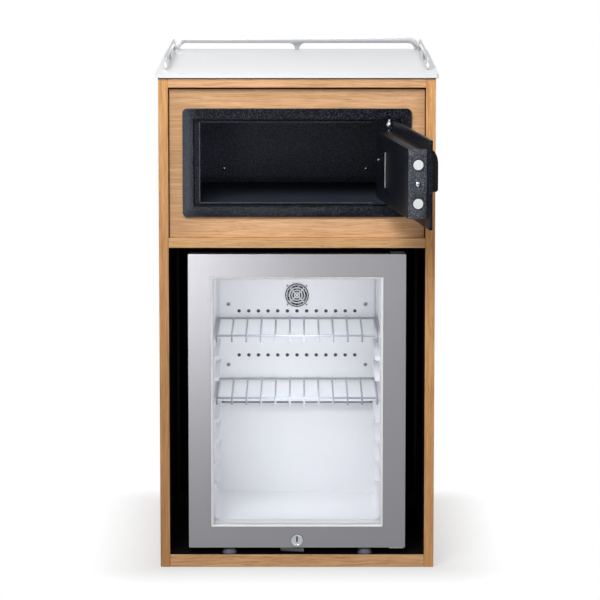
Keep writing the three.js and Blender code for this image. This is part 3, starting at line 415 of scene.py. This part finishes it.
def oak(name, grain, tones, bay_shade=False, recess=False, floor_shade=0.0):
    """Pale oak laminate, with painted shade: black inside the lower bay, darker near a recess's edges,
    and darker towards the floor.
    """
    s = Shader(name)
    waved = s.warp(amount=0.010, scale=3.5)
    lengthwise = s.stretch(drawn_out(grain, 0.028), waved)
    streak = s.noise(290, detail=6, rough=0.72, vector=lengthwise)
    fibre = s.noise(900, detail=3, rough=0.6, vector=lengthwise)
    broad = s.noise(14, detail=2, vector=lengthwise)
    tone = s.total((streak, 0.60), (fibre, 0.24), (broad, 0.16))
    colour = s.ramp(tone, [(0.38, tones[0]), (0.50, tones[1]), (0.61, tones[2])])
    figure = s.noise(95, detail=3, rough=0.55, vector=lengthwise)
    ring = s.math("FRACT", s.math("MULTIPLY", figure, 7.0))
    ridge = s.math("ABSOLUTE", s.math("SUBTRACT", ring, 0.5))
    crest = s.span(ridge, 0.55, 0.0, start=0.0, end=0.16)
    veins = s.math("MULTIPLY", crest, s.span(streak, 0.2, 1.0, start=0.4, end=0.6))
    colour = s.blend(veins, colour, tones[0])
    pore_place = s.stretch(drawn_out(grain, 0.06), waved)
    pores = s.span(s.noise(560, detail=2, vector=pore_place), 0.0, 0.5, start=0.60, end=0.72)
    colour = s.blend(pores, colour, dim(tones[0], 0.6))
    rough = s.span(fibre, 0.48, 0.66)
    # Painted shade: darker towards the floor
    if floor_shade:
        down = s.span(s.part("Z"), floor_shade, 0.0, start=0.12, end=0.86)
        colour = s.blend(down, colour, dim(tones[1], 0.45))
    # Painted shade: darker near the recess's top and sides, reaching furthest in from the left
    if recess:
        from_right = s.math("SUBTRACT", FASCIA_HIGH.x, s.part("X"))
        from_left = s.math("MULTIPLY", s.math("ADD", FASCIA_HIGH.x, s.part("X")), 0.34)
        from_top = s.math("SUBTRACT", FASCIA_HIGH.z, s.part("Z"))
        near = s.math("MINIMUM", s.math("MINIMUM", from_right, from_left), from_top)
        dull = s.span(near, 0.46, 0.0, start=0.0, end=0.034)
        colour = s.blend(dull, colour, dim(tones[1], 0.42))
    # Painted shade: black inside the lower bay, and rough there
    if bay_shade:
        inside = s.math("LESS_THAN", s.math("ABSOLUTE", s.part("X")), BAY_HALF)
        for axis, low, high in (("Z", BAY_BOTTOM, BAY_TOP), ("Y", BAY_FRONT, BOARD_BACK)):
            inside = s.math("MULTIPLY", inside, s.math("GREATER_THAN", s.part(axis), low))
            inside = s.math("MULTIPLY", inside, s.math("LESS_THAN", s.part(axis), high))
        colour = s.blend(inside, colour, BAY_SHADE_BLACK)
        rough = s.math("MAXIMUM", rough, inside)
    s.set(Base_Color=colour, Roughness=rough, Specular_IOR_Level=0.12)
    s.bump(fibre, strength=0.14, distance=0.0003)
    return s.material


def powder_black(name, shade_share=1.0, hollow=False, ended=False):
    """Blue-black hammered powder coat, with painted light and shade: lighter inside the safe's body, a
    sheen on its left flange, darker on its floor and on the lock cover, and lighter on the cover's end.
    """
    s = Shader(name)
    pebble = s.cells(480)
    speck = s.noise(540, detail=2, rough=0.55)

    def coat(tones):
        return s.ramp(speck, list(zip((0.40, 0.53, 0.70), tones)))

    # The coat, darkened on the lock cover as painted shade
    colour = coat([dim(tone, shade_share) for tone in SAFE_TONES])
    # Painted light inside the body, a painted sheen on the left flange, and painted shade on the floor
    # inside
    if hollow:
        deep = s.span(s.part("Y"), 0.0, 1.0, *INSIDE_FROM_Y)
        left = s.span(s.part("X"), 0.62, 0.0, *FLANGE_LEFT_X)
        colour = s.blend(left, colour, FLANGE_LEFT_SHEEN)
        colour = s.blend(deep, colour, coat(INSIDE_LIT_TONES))
        low = s.math("MULTIPLY", deep, s.span(s.part("Z"), 0.6, 0.0, *SAFE_FLOOR_SHADE_Z))
        colour = s.blend(low, colour, SAFE_TONES[1])
    # Painted light: the lock cover's end lighter than the rest of it
    if ended:
        from_x = s.math("SUBTRACT", s.part("X"), SAFE_PIVOT.x)
        from_y = s.math("SUBTRACT", s.part("Y"), SAFE_PIVOT.y)
        along = s.total((from_x, -math.cos(SAFE_OPEN)), (from_y, -math.sin(SAFE_OPEN)))
        end = s.math("GREATER_THAN", along, COVER_END)
        colour = s.blend(end, colour, coat(END_LIT_TONES))
    s.set(
        Base_Color=colour,
        Roughness=s.span(speck, 0.24, 0.36),
        Specular_IOR_Level=0.06 if hollow else 0.07,
    )
    relief = s.math("ADD", pebble, s.math("MULTIPLY", speck, 0.5))
    s.bump(relief, strength=0.6, distance=0.0006)
    return s.material


def brushed(name, colour, along="Z", rough=(0.24, 0.4), depth=0.14):
    """Metal brushed along one axis."""
    s = Shader(name)
    lines = s.noise(1500, detail=4, rough=0.6, vector=s.stretch(drawn_out(along, 0.01)))
    cloud = s.noise(4, detail=2)
    shade = s.total((lines, 0.7), (cloud, 0.3))
    s.set(
        Base_Color=s.ramp(shade, [(0.3, dim(colour, 1 - depth)), (0.7, colour)]),
        Metallic=1.0,
        Roughness=s.span(lines, *rough),
    )
    s.bump(lines, strength=0.04, distance=0.0002)
    return s.material


def smooth(name, colour, rough=0.4, metal=0.0, grain=0.06, scale=600, bump=0.05, shine=0.5):
    """A moulded, plated or coated surface with a faint grain."""
    s = Shader(name)
    speck = s.noise(scale, detail=3, rough=0.6)
    cloud = s.noise(7, detail=2)
    shade = s.total((speck, 0.6), (cloud, 0.4))
    s.set(
        Base_Color=s.ramp(shade, [(0.3, dim(colour, 1 - grain)), (0.7, colour)]),
        Metallic=metal,
        Roughness=s.span(speck, rough * 0.85, min(1.0, rough * 1.15)),
        Specular_IOR_Level=shine,
    )
    s.bump(speck, strength=bump, distance=0.0003)
    return s.material


def plated(name, colour, rough, grain=0.04, bump=0.01):
    """Smooth bright metal."""
    return smooth(name, colour, rough, metal=1.0, grain=grain, scale=300, bump=bump)


def hardboard(name):
    """Brown pressed board, painted black as shade on the side that faces into the case."""
    s = Shader(name)
    fibre = s.noise(420, detail=4, rough=0.65)
    cloud = s.noise(9, detail=2)
    shade = s.total((fibre, 0.65), (cloud, 0.35))
    browns = [(0.3, (0.118, 0.066, 0.033)), (0.5, (0.172, 0.100, 0.052)), (0.7, (0.235, 0.146, 0.080))]
    # Painted shade: black inward of the outer millimetre
    outer = s.math("GREATER_THAN", s.part("Y"), BOARD_BACK)
    s.set(
        Base_Color=s.blend(outer, (0.004, 0.004, 0.0045), s.ramp(shade, browns)),
        Roughness=s.span(fibre, 0.7, 0.9),
        Specular_IOR_Level=0.1,
    )
    s.bump(fibre, strength=0.2, distance=0.0003)
    return s.material


def grille(name):
    """Pale moulded rings and rim, with painted shade: dark down their sides and in a line round the
    outside.
    """
    s = Shader(name)
    x = s.part("X")
    z = s.math("SUBTRACT", s.part("Z"), FAN_CENTRE.z)
    out = s.math("SQRT", s.total((x, x), (z, z)))
    speck = s.noise(600, detail=3, rough=0.6)
    pale = s.ramp(speck, [(0.3, (0.62, 0.63, 0.66)), (0.7, (0.68, 0.69, 0.72))])
    # Painted shade: a dark line round the rim, and dark behind the pale face
    rim = s.math("GREATER_THAN", out, GRILLE_RADIUS - GRILLE_SHADOW_LINE)
    behind = s.math("GREATER_THAN", s.part("Y"), FAN_CENTRE.y + GRILLE_FACE)
    s.set(
        Base_Color=s.blend(s.math("MAXIMUM", rim, behind), pale, (0.012, 0.012, 0.014)),
        Roughness=s.span(speck, 0.38, 0.5),
    )
    s.bump(speck, strength=0.05, distance=0.0003)
    return s.material


def clear_glass(name):
    """Thin clear glass: light goes straight through, and a little is thrown back, more at a slant."""
    s = Shader(name)
    haze = s.noise(5, detail=2)
    tint = s.ramp(haze, [(0.2, (0.965, 0.98, 0.98)), (0.8, (0.985, 0.99, 0.995))])
    clear = s.nodes.new("ShaderNodeBsdfTransparent")
    s.put(clear.inputs["Color"], tint)
    shine = s.nodes.new("ShaderNodeBsdfGlossy")
    shine.inputs["Roughness"].default_value = 0.02
    turn = s.nodes.new("ShaderNodeLayerWeight")
    turn.inputs["Blend"].default_value = 0.5
    slant = s.math("POWER", turn.outputs["Facing"], 5.0)
    s.mixed(s.span(slant, 0.022, 1.0), clear, shine)
    return s.material


FINISH = {
    "oak_left": oak("oak left", "Z", OAK_LEFT, bay_shade=True, floor_shade=0.48),
    "oak_right": oak("oak right", "Z", OAK_RIGHT, bay_shade=True, floor_shade=0.38),
    "oak_fascia": oak("oak fascia", "X", OAK_BOARD, recess=True),
    "oak_base": oak("oak base", "X", OAK_BASE, bay_shade=True),
    "oak_level": oak("oak level", "X", OAK_BOARD, bay_shade=True),
    "oak_divider": oak("oak divider", "X", OAK_DIVIDER, bay_shade=True),
    "hardboard": hardboard("hardboard"),
    "white_top": smooth(
        "white laminate", (0.78, 0.79, 0.80), rough=0.32, grain=0.02, scale=900, bump=0.02, shine=0.3),
    "bright": plated("bright plated steel", (0.64, 0.65, 0.66), rough=0.22),
    "bolt": plated("bolt steel", (0.37, 0.375, 0.38), rough=0.20),
    "anchor": plated("anchor bolt zinc", (0.90, 0.91, 0.93), rough=0.16, grain=0.05, bump=0.02),
    "chrome": plated("lock chrome", (0.46, 0.48, 0.51), rough=0.18, grain=0.05),
    "rail": brushed("rail steel", (0.49, 0.495, 0.51), "X", rough=(0.32, 0.44)),
    "steel": brushed("door steel", (0.208, 0.206, 0.219), "Z", rough=(0.40, 0.50), depth=0.08),
    "zinc": brushed("zinc steel", (0.42, 0.425, 0.44), "X"),
    "keeper": brushed("dull steel", (0.085, 0.088, 0.097), "X"),
    "safe": powder_black("safe door powder coat"),
    "safe_body": powder_black("safe body powder coat, painted light and shade", hollow=True),
    "safe_cover": powder_black("lock cover powder coat, painted shade and light", shade_share=0.7, ended=True),
    # Painted highlight on the safe's lip
    "edge": smooth(
        "painted lip highlight", (0.100, 0.108, 0.128), rough=0.45, grain=0.4, scale=500, bump=0.1, shine=0.2),
    "lip": smooth("bare steel lip", (0.70, 0.70, 0.72), rough=0.35, metal=1.0, grain=0.1),
    "black": smooth(
        "black moulding", (0.0035, 0.0035, 0.0042),
        rough=0.42, grain=0.3, scale=800, bump=0.08, shine=0.1),
    "foot": smooth(
        "grey rubber", (0.16, 0.175, 0.20), rough=0.7, grain=0.2, scale=500, bump=0.1, shine=0.2),
    "key": smooth("key rubber", (0.19, 0.195, 0.205), rough=0.6, grain=0.15, scale=900, bump=0.1),
    "enamel": smooth("black enamel", (0.010, 0.010, 0.011), rough=0.35, grain=0.2, shine=0.4),
    "brass": smooth("brass", (0.70, 0.50, 0.18), rough=0.3, metal=1.0, grain=0.1, scale=300),
    "shell": smooth("black shell", (0.0012, 0.0012, 0.0014), rough=0.8, grain=0.2, shine=0.05),
    "white": smooth(
        "white moulding", (0.785, 0.785, 0.815), rough=0.4, grain=0.02, scale=500, bump=0.03, shine=0.3),
    "grille": grille("fan grille moulding, painted shade"),
    "bead": smooth(
        "white glazing bead", (0.86, 0.86, 0.87), rough=0.5, grain=0.03, scale=500, bump=0.03, shine=0.2),
    "wire": smooth("coated wire", (0.27, 0.285, 0.34), rough=0.28),
    "fin": brushed("fin metal", (0.75, 0.76, 0.77), "Z"),
    "tube": smooth("black tube", (0.016, 0.0165, 0.018), rough=0.35, metal=0.3, grain=0.2),
    "glass": clear_glass("door glass"),
    "seal": smooth("pale seal", (0.66, 0.67, 0.68), rough=0.7, grain=0.08),
    # Black that stands for shade in hollows, recesses and lines: painted shade
    "hollow_shade": smooth("painted hollow shade", (0.004, 0.004, 0.005), rough=0.9, grain=0.3, shine=0.1),
    # Dark filter mesh, also used as the painted shadow under the air cover
    "mesh": smooth(
        "filter mesh", (0.045, 0.046, 0.052), rough=0.8, grain=0.3, scale=700, bump=0.1, shine=0.2),
    # Painted shadow in the fascia's recess
    "shade": smooth(
        "dark edging", (0.030, 0.017, 0.009), rough=0.8, grain=0.3, scale=400, bump=0.1, shine=0.1),
    "ink": smooth("white ink", (0.78, 0.78, 0.78), rough=0.6, grain=0.05),
    "lens_red": smooth("red lamp lens", (0.36, 0.012, 0.010), rough=0.15, grain=0.1),
    "lens_green": smooth("green lamp lens", (0.015, 0.24, 0.03), rough=0.15, grain=0.1),
}

KEYS = [name for name in nodes if name.startswith("key_")]

# The solids that take each finish
NODE_FINISH = {
    "oak_left": ["side_panel_left"],
    "oak_right": ["side_panel_right"],
    "oak_level": ["top_board", "safe_platform"],
    "oak_divider": ["divider_board"],
    "oak_fascia": ["safe_fascia"],
    "oak_base": ["bottom_board"],
    "hardboard": ["back_panel"],
    "white_top": ["counter_top"],
    "rail": ["gallery_back", "gallery_left", "gallery_right"],
    "bright": ["safe_hinge_pin_top", "safe_hinge_pin_bottom"],
    "bolt": ["bolt_upper", "bolt_lower"],
    "chrome": ["door_lock_cylinder"],
    "steel": ["door_frame"],
    "zinc": ["bolt_bar", "door_lock_cam", "door_hinge_bottom"],
    "keeper": ["lock_catch"],
    "safe": ["safe_door_plate"],
    "safe_body": ["safe_body"],
    "safe_cover": ["safe_lock_cover"],
    "black": ["keypad_bezel", "battery_pack", "fan_housing", "fan_rotor"],
    "foot": [name for name in nodes if name.startswith("fridge_foot_")],
    "key": KEYS,
    "enamel": ["lock_motor", "compressor", "door_hinge_top"],
    "brass": ["lock_pinion"],
    "shell": ["fridge_shell"],
    "white": ["fridge_liner", "evaporator_cover", "door_inner_frame"],
    "grille": ["fan_grille"],
    "wire": ["shelf_upper", "shelf_lower"],
    "fin": ["evaporator_coil"],
    "tube": ["condenser_coil"],
    "glass": ["door_glass"],
    "seal": ["door_gasket"],
}

# Rounded edges: their width, whether the faces between are shaded flat, and the solids that have them
EDGE_ROUND = [
    (0.0012, True, ["side_panel_left", "side_panel_right", "safe_fascia"]),
    (0.0012, True, ["top_board", "divider_board", "bottom_board"]),
    (0.0020, True, ["counter_top"]),
    (0.0009, True, ["door_frame"]),
    (0.0008, False, ["gallery_back", "gallery_left", "gallery_right", "keypad_bezel", "lock_catch"]),
    (0.0010, False, ["safe_body", "safe_lock_cover", "safe_door_plate", "door_inner_frame"]),
    (0.0011, False, KEYS),
]


def dress_nodes():
    """Gives every solid its finish, rounds its edges and smooths its curves."""
    for finish, names in NODE_FINISH.items():
        for name in names:
            mesh = nodes[name].data
            mesh.materials.clear()
            mesh.materials.append(FINISH[finish])
    rounding = {name: (width, flat) for width, flat, names in EDGE_ROUND for name in names}
    for name, node in nodes.items():
        width, flat = rounding.get(name, (0.0, False))
        for face in node.data.polygons:
            face.use_smooth = not flat
        weld = node.modifiers.new("weld", "WELD")
        weld.merge_threshold = WELD_GAP
        if width:
            bevel = node.modifiers.new("round", "BEVEL")
            bevel.width = width
            bevel.segments = 2
            bevel.limit_method = "ANGLE"
            bevel.angle_limit = SHARP_ANGLE
            bevel.use_clamp_overlap = True
            bevel.harden_normals = not flat
        else:
            split = node.modifiers.new("split", "EDGE_SPLIT")
            split.split_angle = SHARP_ANGLE


def piece(name, mesh, finish, body, place=None):
    """A new visible piece that rides on a body."""
    made = bpy.data.objects.new(name.replace(" ", "_"), mesh)
    scene.collection.objects.link(made)
    if place is not None:
        made.matrix_world = place
    mesh.materials.clear()
    mesh.materials.append(FINISH[finish])
    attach(made, body)


def mesh_of(shape, name):
    """A mesh with its faces turned out, made from a shape that is then done with."""
    bmesh.ops.recalc_face_normals(shape, faces=shape.faces)
    mesh = bpy.data.meshes.new(name)
    shape.to_mesh(mesh)
    shape.free()
    return mesh


def lathe(name, profile, sides=32):
    """A turned mesh about local Z from (radius, height) pairs, closed where a radius is 0."""
    shape = bmesh.new()
    rings = []
    turns = [2 * math.pi * i / sides for i in range(sides)]
    for radius, height in profile:
        if radius == 0:
            rings.append([shape.verts.new((0, 0, height))])
            continue
        spots = [(radius * math.cos(turn), radius * math.sin(turn), height) for turn in turns]
        rings.append([shape.verts.new(spot) for spot in spots])
    for low, high in zip(rings, rings[1:]):
        for i in range(sides):
            j = (i + 1) % sides
            corners = [low[i % len(low)], low[j % len(low)], high[j % len(high)], high[i % len(high)]]
            shape.faces.new(list(dict.fromkeys(corners)))
    mesh = mesh_of(shape, name)
    for face in mesh.polygons:
        face.use_smooth = True
    mesh.set_sharp_from_angle(angle=TURNED_SHARP_ANGLE)
    return mesh


def box_mesh(name, size):
    """A box about the origin."""
    shape = bmesh.new()
    bmesh.ops.create_cube(shape, size=1.0, matrix=Matrix.Diagonal((*size, 1.0)))
    return mesh_of(shape, name)


def strip(name, profile, length):
    """A closed outline in local Y and Z, drawn out along local X about the origin."""
    shape = bmesh.new()
    ends = [[shape.verts.new((side * length / 2, y, z)) for y, z in profile] for side in (-1, 1)]
    shape.faces.new(ends[0])
    shape.faces.new(list(reversed(ends[1])))
    for i in range(len(profile)):
        j = (i + 1) % len(profile)
        shape.faces.new((ends[0][i], ends[0][j], ends[1][j], ends[1][i]))
    return mesh_of(shape, name)


def bead(name, half, low, high, profile):
    """A mitred frame in the plane of the front, from (inward, y) pairs."""
    shape = bmesh.new()
    loops = []
    for t, y in profile:
        left, right, bottom, top = -half + t, half - t, low + t, high - t
        corners = ((left, bottom), (right, bottom), (right, top), (left, top))
        loops.append([shape.verts.new((x, y, z)) for x, z in corners])
    for first, second in zip(loops, loops[1:] + loops[:1]):
        for i in range(4):
            j = (i + 1) % 4
            shape.faces.new((first[i], first[j], second[j], second[i]))
    return mesh_of(shape, name)


def facing(point, out):
    """A place whose local Z points out along a direction."""
    turn = Vector((0, 0, 1)).rotation_difference(Vector(out).normalized())
    return Matrix.Translation(Vector(point)) @ turn.to_matrix().to_4x4()


def screw(name, point, out, radius, finish, body):
    """A domed screw head whose cross recess is drawn as dark bars of painted shade."""
    dome = [(0, -0.0004), (radius, -0.0004)]
    dome += [(radius, 0.25 * radius), (0.7 * radius, 0.5 * radius), (0, 0.55 * radius)]
    place = facing(point, out)
    piece(name, lathe(name, dome, 24), finish, body, place)
    for i, turn in enumerate((0, math.pi / 2)):
        bar = box_mesh(name + " recess", (1.1 * radius, 0.22 * radius, 0.1 * radius))
        turned = place @ Matrix.Rotation(turn + RECESS_TURN, 4, "Z")
        raised = turned @ Matrix.Translation((0, 0, 0.53 * radius))
        piece(name + " recess " + str(i), bar, "hollow_shade", body, raised)


def case_details():
    """A dark line painted as shadow under the counter top, painted shadow strips round the safe's fascia,
    and the front pads.
    """
    middle = (CASE_LOW + CASE_HIGH) / 2
    wide, deep, _ = CASE_HIGH - CASE_LOW
    runs = [
        ("front", (middle.x, CASE_LOW.y, CASE_HIGH.z), 0.0, wide),
        ("left", (CASE_LOW.x, middle.y, CASE_HIGH.z), -math.pi / 2, deep),
        ("right", (CASE_HIGH.x, middle.y, CASE_HIGH.z), math.pi / 2, deep),
    ]
    # Painted shadow: a dark line under the counter top's edge
    for side, at, turn, length in runs:
        seal = strip("seal", COUNTER_SHADOW, length)
        place = Matrix.Translation(at) @ Matrix.Rotation(turn, 4, "Z")
        piece("counter shadow line " + side, seal, "hollow_shade", "cabinet", place)

    # Painted shadow: dark strips along the top and sides of the fascia's recess
    middle = (FASCIA_LOW + FASCIA_HIGH) / 2
    wide, _, tall = FASCIA_HIGH - FASCIA_LOW
    edges = [
        ("top", (middle.x, FASCIA_LOW.y, FASCIA_HIGH.z - FASCIA_SHADOW_WIDTH["top"] / 2), Matrix(), wide),
        ("left", (FASCIA_LOW.x + FASCIA_SHADOW_WIDTH["left"] / 2, FASCIA_LOW.y, middle.z), UPRIGHT, tall),
        ("right", (FASCIA_HIGH.x - FASCIA_SHADOW_WIDTH["right"] / 2, FASCIA_LOW.y, middle.z), UPRIGHT, tall),
    ]
    for side, at, turn, length in edges:
        half = FASCIA_SHADOW_WIDTH[side] / 2
        edge = [(0, -half), (-0.0005, -0.8 * half), (-0.0007, 0), (-0.0005, 0.8 * half), (0, half)]
        place = Matrix.Translation(at) @ turn
        piece("fascia edging " + side, strip("edging", edge, length), "shade", "cabinet", place)

    for side in ("left", "right"):
        place = Matrix.Translation((front_centre("fridge_foot_front_" + side).x, PAD_Y, BASE_TOP))
        pad = lathe("pad " + side, PAD)
        piece("front pad " + side, pad, "foot", "cabinet", place)


def safe_details():
    """Anchor bolts inside the safe, its hinge collars, a painted shadow in its rebate and a painted
    highlight on its lip, and the fittings on its door.
    """
    for side, x in ANCHOR_X.items():
        spot = (x, ANCHOR_Y, ANCHOR_Z)
        screw("safe anchor " + side, spot, (0, -1, 0), ANCHOR_RADIUS, "anchor", "cabinet")
    for end, side in (("top", 1), ("bottom", -1)):
        collar = lathe("collar " + end, COLLAR)
        place = facing(SAFE_PIVOT + Vector((0, 0, side * COLLAR_RISE)), (0, 0, -side))
        piece("hinge collar " + end, collar, "bright", "cabinet", place)
    # Painted shadow: a dark line round the safe's rebate
    rim = bead("rebate shadow line", REBATE_HALF, REBATE_BOTTOM, REBATE_TOP, REBATE_SHADOW)
    piece("safe rebate shadow line", rim, "hollow_shade", "cabinet")
    # Painted highlight: a light line along the lip's left, bottom and top edges
    runs = [
        ("left", (LIP_HIGHLIGHT_SIDE["x"], LIP_HIGHLIGHT_Y, SAFE_PIVOT.z), UPRIGHT, LIP_HIGHLIGHT_SIDE["length"]),
        ("bottom", (LIP_HIGHLIGHT_LEVEL["x"], LIP_HIGHLIGHT_Y, LIP_HIGHLIGHT_LEVEL["bottom"]), Matrix(), LIP_HIGHLIGHT_LEVEL["length"]),
        ("top", (LIP_HIGHLIGHT_LEVEL["x"], LIP_HIGHLIGHT_Y, LIP_HIGHLIGHT_LEVEL["top"]), Matrix(), LIP_HIGHLIGHT_LEVEL["length"]),
    ]
    for side, at, turn, length in runs:
        edge = strip("edge", LIP_HIGHLIGHT, length)
        place = Matrix.Translation(at) @ turn
        piece("safe lip highlight " + side, edge, "edge", "cabinet", place)
    lock_details()
    key_marks()


def lock_details():
    """Studs and a slot's lip on the lock cover, and the lamps and screws of the keypad."""
    inward = DOOR_TURN @ Vector((0, 1, 0))
    free = DOOR_TURN @ Vector((-1, 0, 0))
    slope = DOOR_TURN @ BEZEL_SLOPE
    spot = DOOR @ END_STUD
    screw("lock end stud", spot, free, END_STUD_RADIUS, "bright", "safe_door")
    spot = DOOR @ COVER_STUD
    screw("cover stud", spot, inward, COVER_STUD_RADIUS, "anchor", "safe_door")
    place = DOOR @ Matrix.Translation(SLOT) @ UPRIGHT
    piece("slot lip", strip("lip", LIP, SLOT_LENGTH), "lip", "safe_door", place)
    for finish, x in LENS_X.items():
        place = facing(DOOR @ Vector((x, LENS_Y, LENS_Z)), DOOR_OUT)
        piece("lock lamp " + finish, lathe("lens", LENS, 20), finish, "safe_door", place)
    for x in BEZEL_SCREW_X:
        name = "bezel screw " + str(x)
        spot = DOOR @ Vector((x, BEZEL_SCREW_Y, BEZEL_SCREW_Z))
        screw(name, spot, slope, BEZEL_SCREW_RADIUS, "zinc", "safe_door")


def key_marks():
    """Plain digits on the keys, with C to clear and E to enter."""
    face = Matrix((
        (*(DOOR_TURN @ Vector((1, 0, 0))), 0),
        (0, 0, 1, 0),
        (*DOOR_OUT, 0),
        (0, 0, 0, 1),
    )).transposed()
    for name in KEYS:
        low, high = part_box(name)
        curve = bpy.data.curves.new("mark " + name, "FONT")
        curve.body = {"key_clear": "C", "key_enter": "E"}.get(name, name[-1])
        curve.size = MARK_SIZE
        curve.extrude = MARK_HALF_THICKNESS
        curve.align_x = "CENTER"
        curve.align_y = "CENTER"
        made = bpy.data.objects.new("mark_" + name, curve)
        scene.collection.objects.link(made)
        made.matrix_world = Matrix.Translation((low + high) / 2 + DOOR_OUT * MARK_RISE) @ face
        curve.materials.append(FINISH["ink"])
        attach(made, name)


def fridge_details():
    """Filters, a dark line painted as shadow, flanges and screws of the air cover, and the door's glazing
    bead and lock face, whose keyway is painted shade.
    """
    for z in FILTER_Z:
        cloth = strip("filter", FILTER, FILTER_LENGTH)
        place = Matrix.Translation((0, FILTER_Y, z))
        piece("air filter " + str(z), cloth, "mesh", "cabinet", place)
    # Painted shadow: a dark line under the air cover's bottom edge
    place = Matrix.Translation((0, COVER_LOW.y, COVER_LOW.z + COVER_SHADOW_RISE))
    piece("cover shadow line", strip("gasket", COVER_SHADOW, COVER_SHADOW_LENGTH), "mesh", "cabinet", place)
    for side, x in WING_X.items():
        wing = strip("flange", WING, WING_LENGTH)
        place = Matrix.Translation((x, WING_Y, WING_Z)) @ UPRIGHT
        piece("cover flange " + side, wing, "white", "cabinet", place)
    glazing = bead("glazing bead", BEAD_HALF, BEAD_BOTTOM, BEAD_TOP, BEAD)
    piece("glazing bead", glazing, "bead", "fridge_door")
    face = lathe("lock face", LOCK_FACE)
    piece("lock face", face, "chrome", "fridge_lock", facing(LOCK_CENTRE, (0, -1, 0)))
    # Painted shade: the keyway is a dark strip on the lock's face
    keyway = strip("keyway", KEYWAY, KEYWAY_LENGTH)
    place = Matrix.Translation(LOCK_CENTRE + KEYWAY_SHIFT) @ UPRIGHT
    piece("lock keyway", keyway, "hollow_shade", "fridge_lock", place)
    for x in COVER_SCREW_X:
        for z in COVER_SCREW_Z:
            name = "cover screw " + str(x) + str(z)
            spot = (x, COVER_LOW.y - COVER_SCREW_PROUD, z)
            screw(name, spot, (0, -1, 0), COVER_SCREW_RADIUS, "zinc", "cabinet")
    for dx in (-1, 1):
        for dz in (-1, 1):
            name = "grille screw " + str(dx) + str(dz)
            spot = FAN_CENTRE + Vector((dx * GRILLE_SCREW_OUT, GRILLE_SCREW_BACK, dz * GRILLE_SCREW_OUT))
            screw(name, spot, (0, -1, 0), GRILLE_SCREW_RADIUS, "zinc", "cabinet")


def seen_by_eye(tree):
    """1 on rays from the eye, straight, by a mirror or through glass, and 0 on those that only light."""
    path = tree.nodes.new("ShaderNodeLightPath")
    seen = path.outputs["Is Camera Ray"]
    for ray in ("Is Glossy Ray", "Is Transmission Ray"):
        either = tree.nodes.new("ShaderNodeMath")
        either.operation = "MAXIMUM"
        tree.links.new(seen, either.inputs[0])
        tree.links.new(path.outputs[ray], either.inputs[1])
        seen = either.outputs[0]
    return seen


def ground():
    """A pale floor that keeps a soft shadow by the case and runs to white."""
    shape = bmesh.new()
    bmesh.ops.create_grid(shape, x_segments=1, y_segments=1, size=FLOOR_SIZE)
    mesh = bpy.data.meshes.new("floor")
    shape.to_mesh(mesh)
    shape.free()
    floor = bpy.data.objects.new("floor", mesh)
    scene.collection.objects.link(floor)
    floor.location.z = -FLOOR_DROP
    s = Shader("floor")
    seen = seen_by_eye(s.material.node_tree)
    past = []
    for axis, edge in (("X", CASE_HIGH.x), ("Y", CASE_HIGH.y)):
        beyond = s.math("SUBTRACT", s.math("ABSOLUTE", s.part(axis)), edge)
        past.append(s.math("MAXIMUM", beyond, 0.0))
    away = s.math("SQRT", s.total((past[0], past[0]), (past[1], past[1])))
    far = s.span(away, SHADOW_WHITE, 1.0, start=0.0, end=SHADOW_REACH)
    glow = s.nodes.new("ShaderNodeEmission")
    glow.inputs["Color"].default_value = (1, 1, 1, 1)
    glow.inputs["Strength"].default_value = 1.0
    greys = [(0.2, (0.60, 0.60, 0.60)), (0.8, (0.64, 0.64, 0.64))]
    s.set(Base_Color=s.ramp(s.noise(60, detail=2), greys), Roughness=0.7)
    s.mixed(s.math("MULTIPLY", seen, far), s.surface, glow)
    mesh.materials.append(s.material)


def surroundings():
    """White all round to the eye, and a weak light from every side on the object."""
    world = bpy.data.worlds.new("studio")
    scene.world = world
    world.use_nodes = True
    tree = world.node_tree
    strength = tree.nodes.new("ShaderNodeMapRange")
    tree.links.new(seen_by_eye(tree), strength.inputs["Value"])
    strength.inputs["To Min"].default_value = SURROUND_LIGHT
    strength.inputs["To Max"].default_value = 1.0
    white = tree.nodes["Background"]
    white.inputs["Color"].default_value = (1, 1, 1, 1)
    tree.links.new(strength.outputs["Result"], white.inputs["Strength"])


def lamp(name, at, to, size, power):
    """A soft rectangular light that the camera itself doesn't see."""
    light = bpy.data.lights.new(name, "AREA")
    light.shape = "RECTANGLE"
    light.size, light.size_y = size
    light.energy = power
    made = bpy.data.objects.new(name, light)
    scene.collection.objects.link(made)
    made.location = at
    made.rotation_euler = (Vector(to) - Vector(at)).to_track_quat("-Z", "Y").to_euler()
    made.visible_camera = False
    return made


def lights():
    """Soft light from all round, a gleam on the metal, and light in the refrigerator."""
    lamps = {name: lamp(name, *rest) for name, *rest in LAMPS}
    lamps["key"].data.spread = KEY_SPREAD
    metal = bpy.data.collections.new("metal faces")
    for name in METAL_FACES:
        metal.objects.link(nodes[name])
    lamps["sheen"].visible_diffuse = False
    lamps["sheen"].light_linking.receiver_collection = metal
    lamps["cavity"].visible_glossy = False


def camera():
    """A long lens in front of the object and a little above its top."""
    data = bpy.data.cameras.new("camera")
    data.lens = CAMERA_LENS
    data.sensor_width = CAMERA_SENSOR
    data.shift_x, data.shift_y = CAMERA_SHIFT
    data.clip_end = CAMERA_REACH
    made = bpy.data.objects.new("camera", data)
    scene.collection.objects.link(made)
    made.location = CAMERA_FROM
    made.rotation_euler = (math.pi / 2 - CAMERA_TILT, 0, 0)
    scene.camera = made


camera()
dress_nodes()
case_details()
safe_details()
fridge_details()
ground()
surroundings()
lights()
scene.view_settings.view_transform = "Standard"
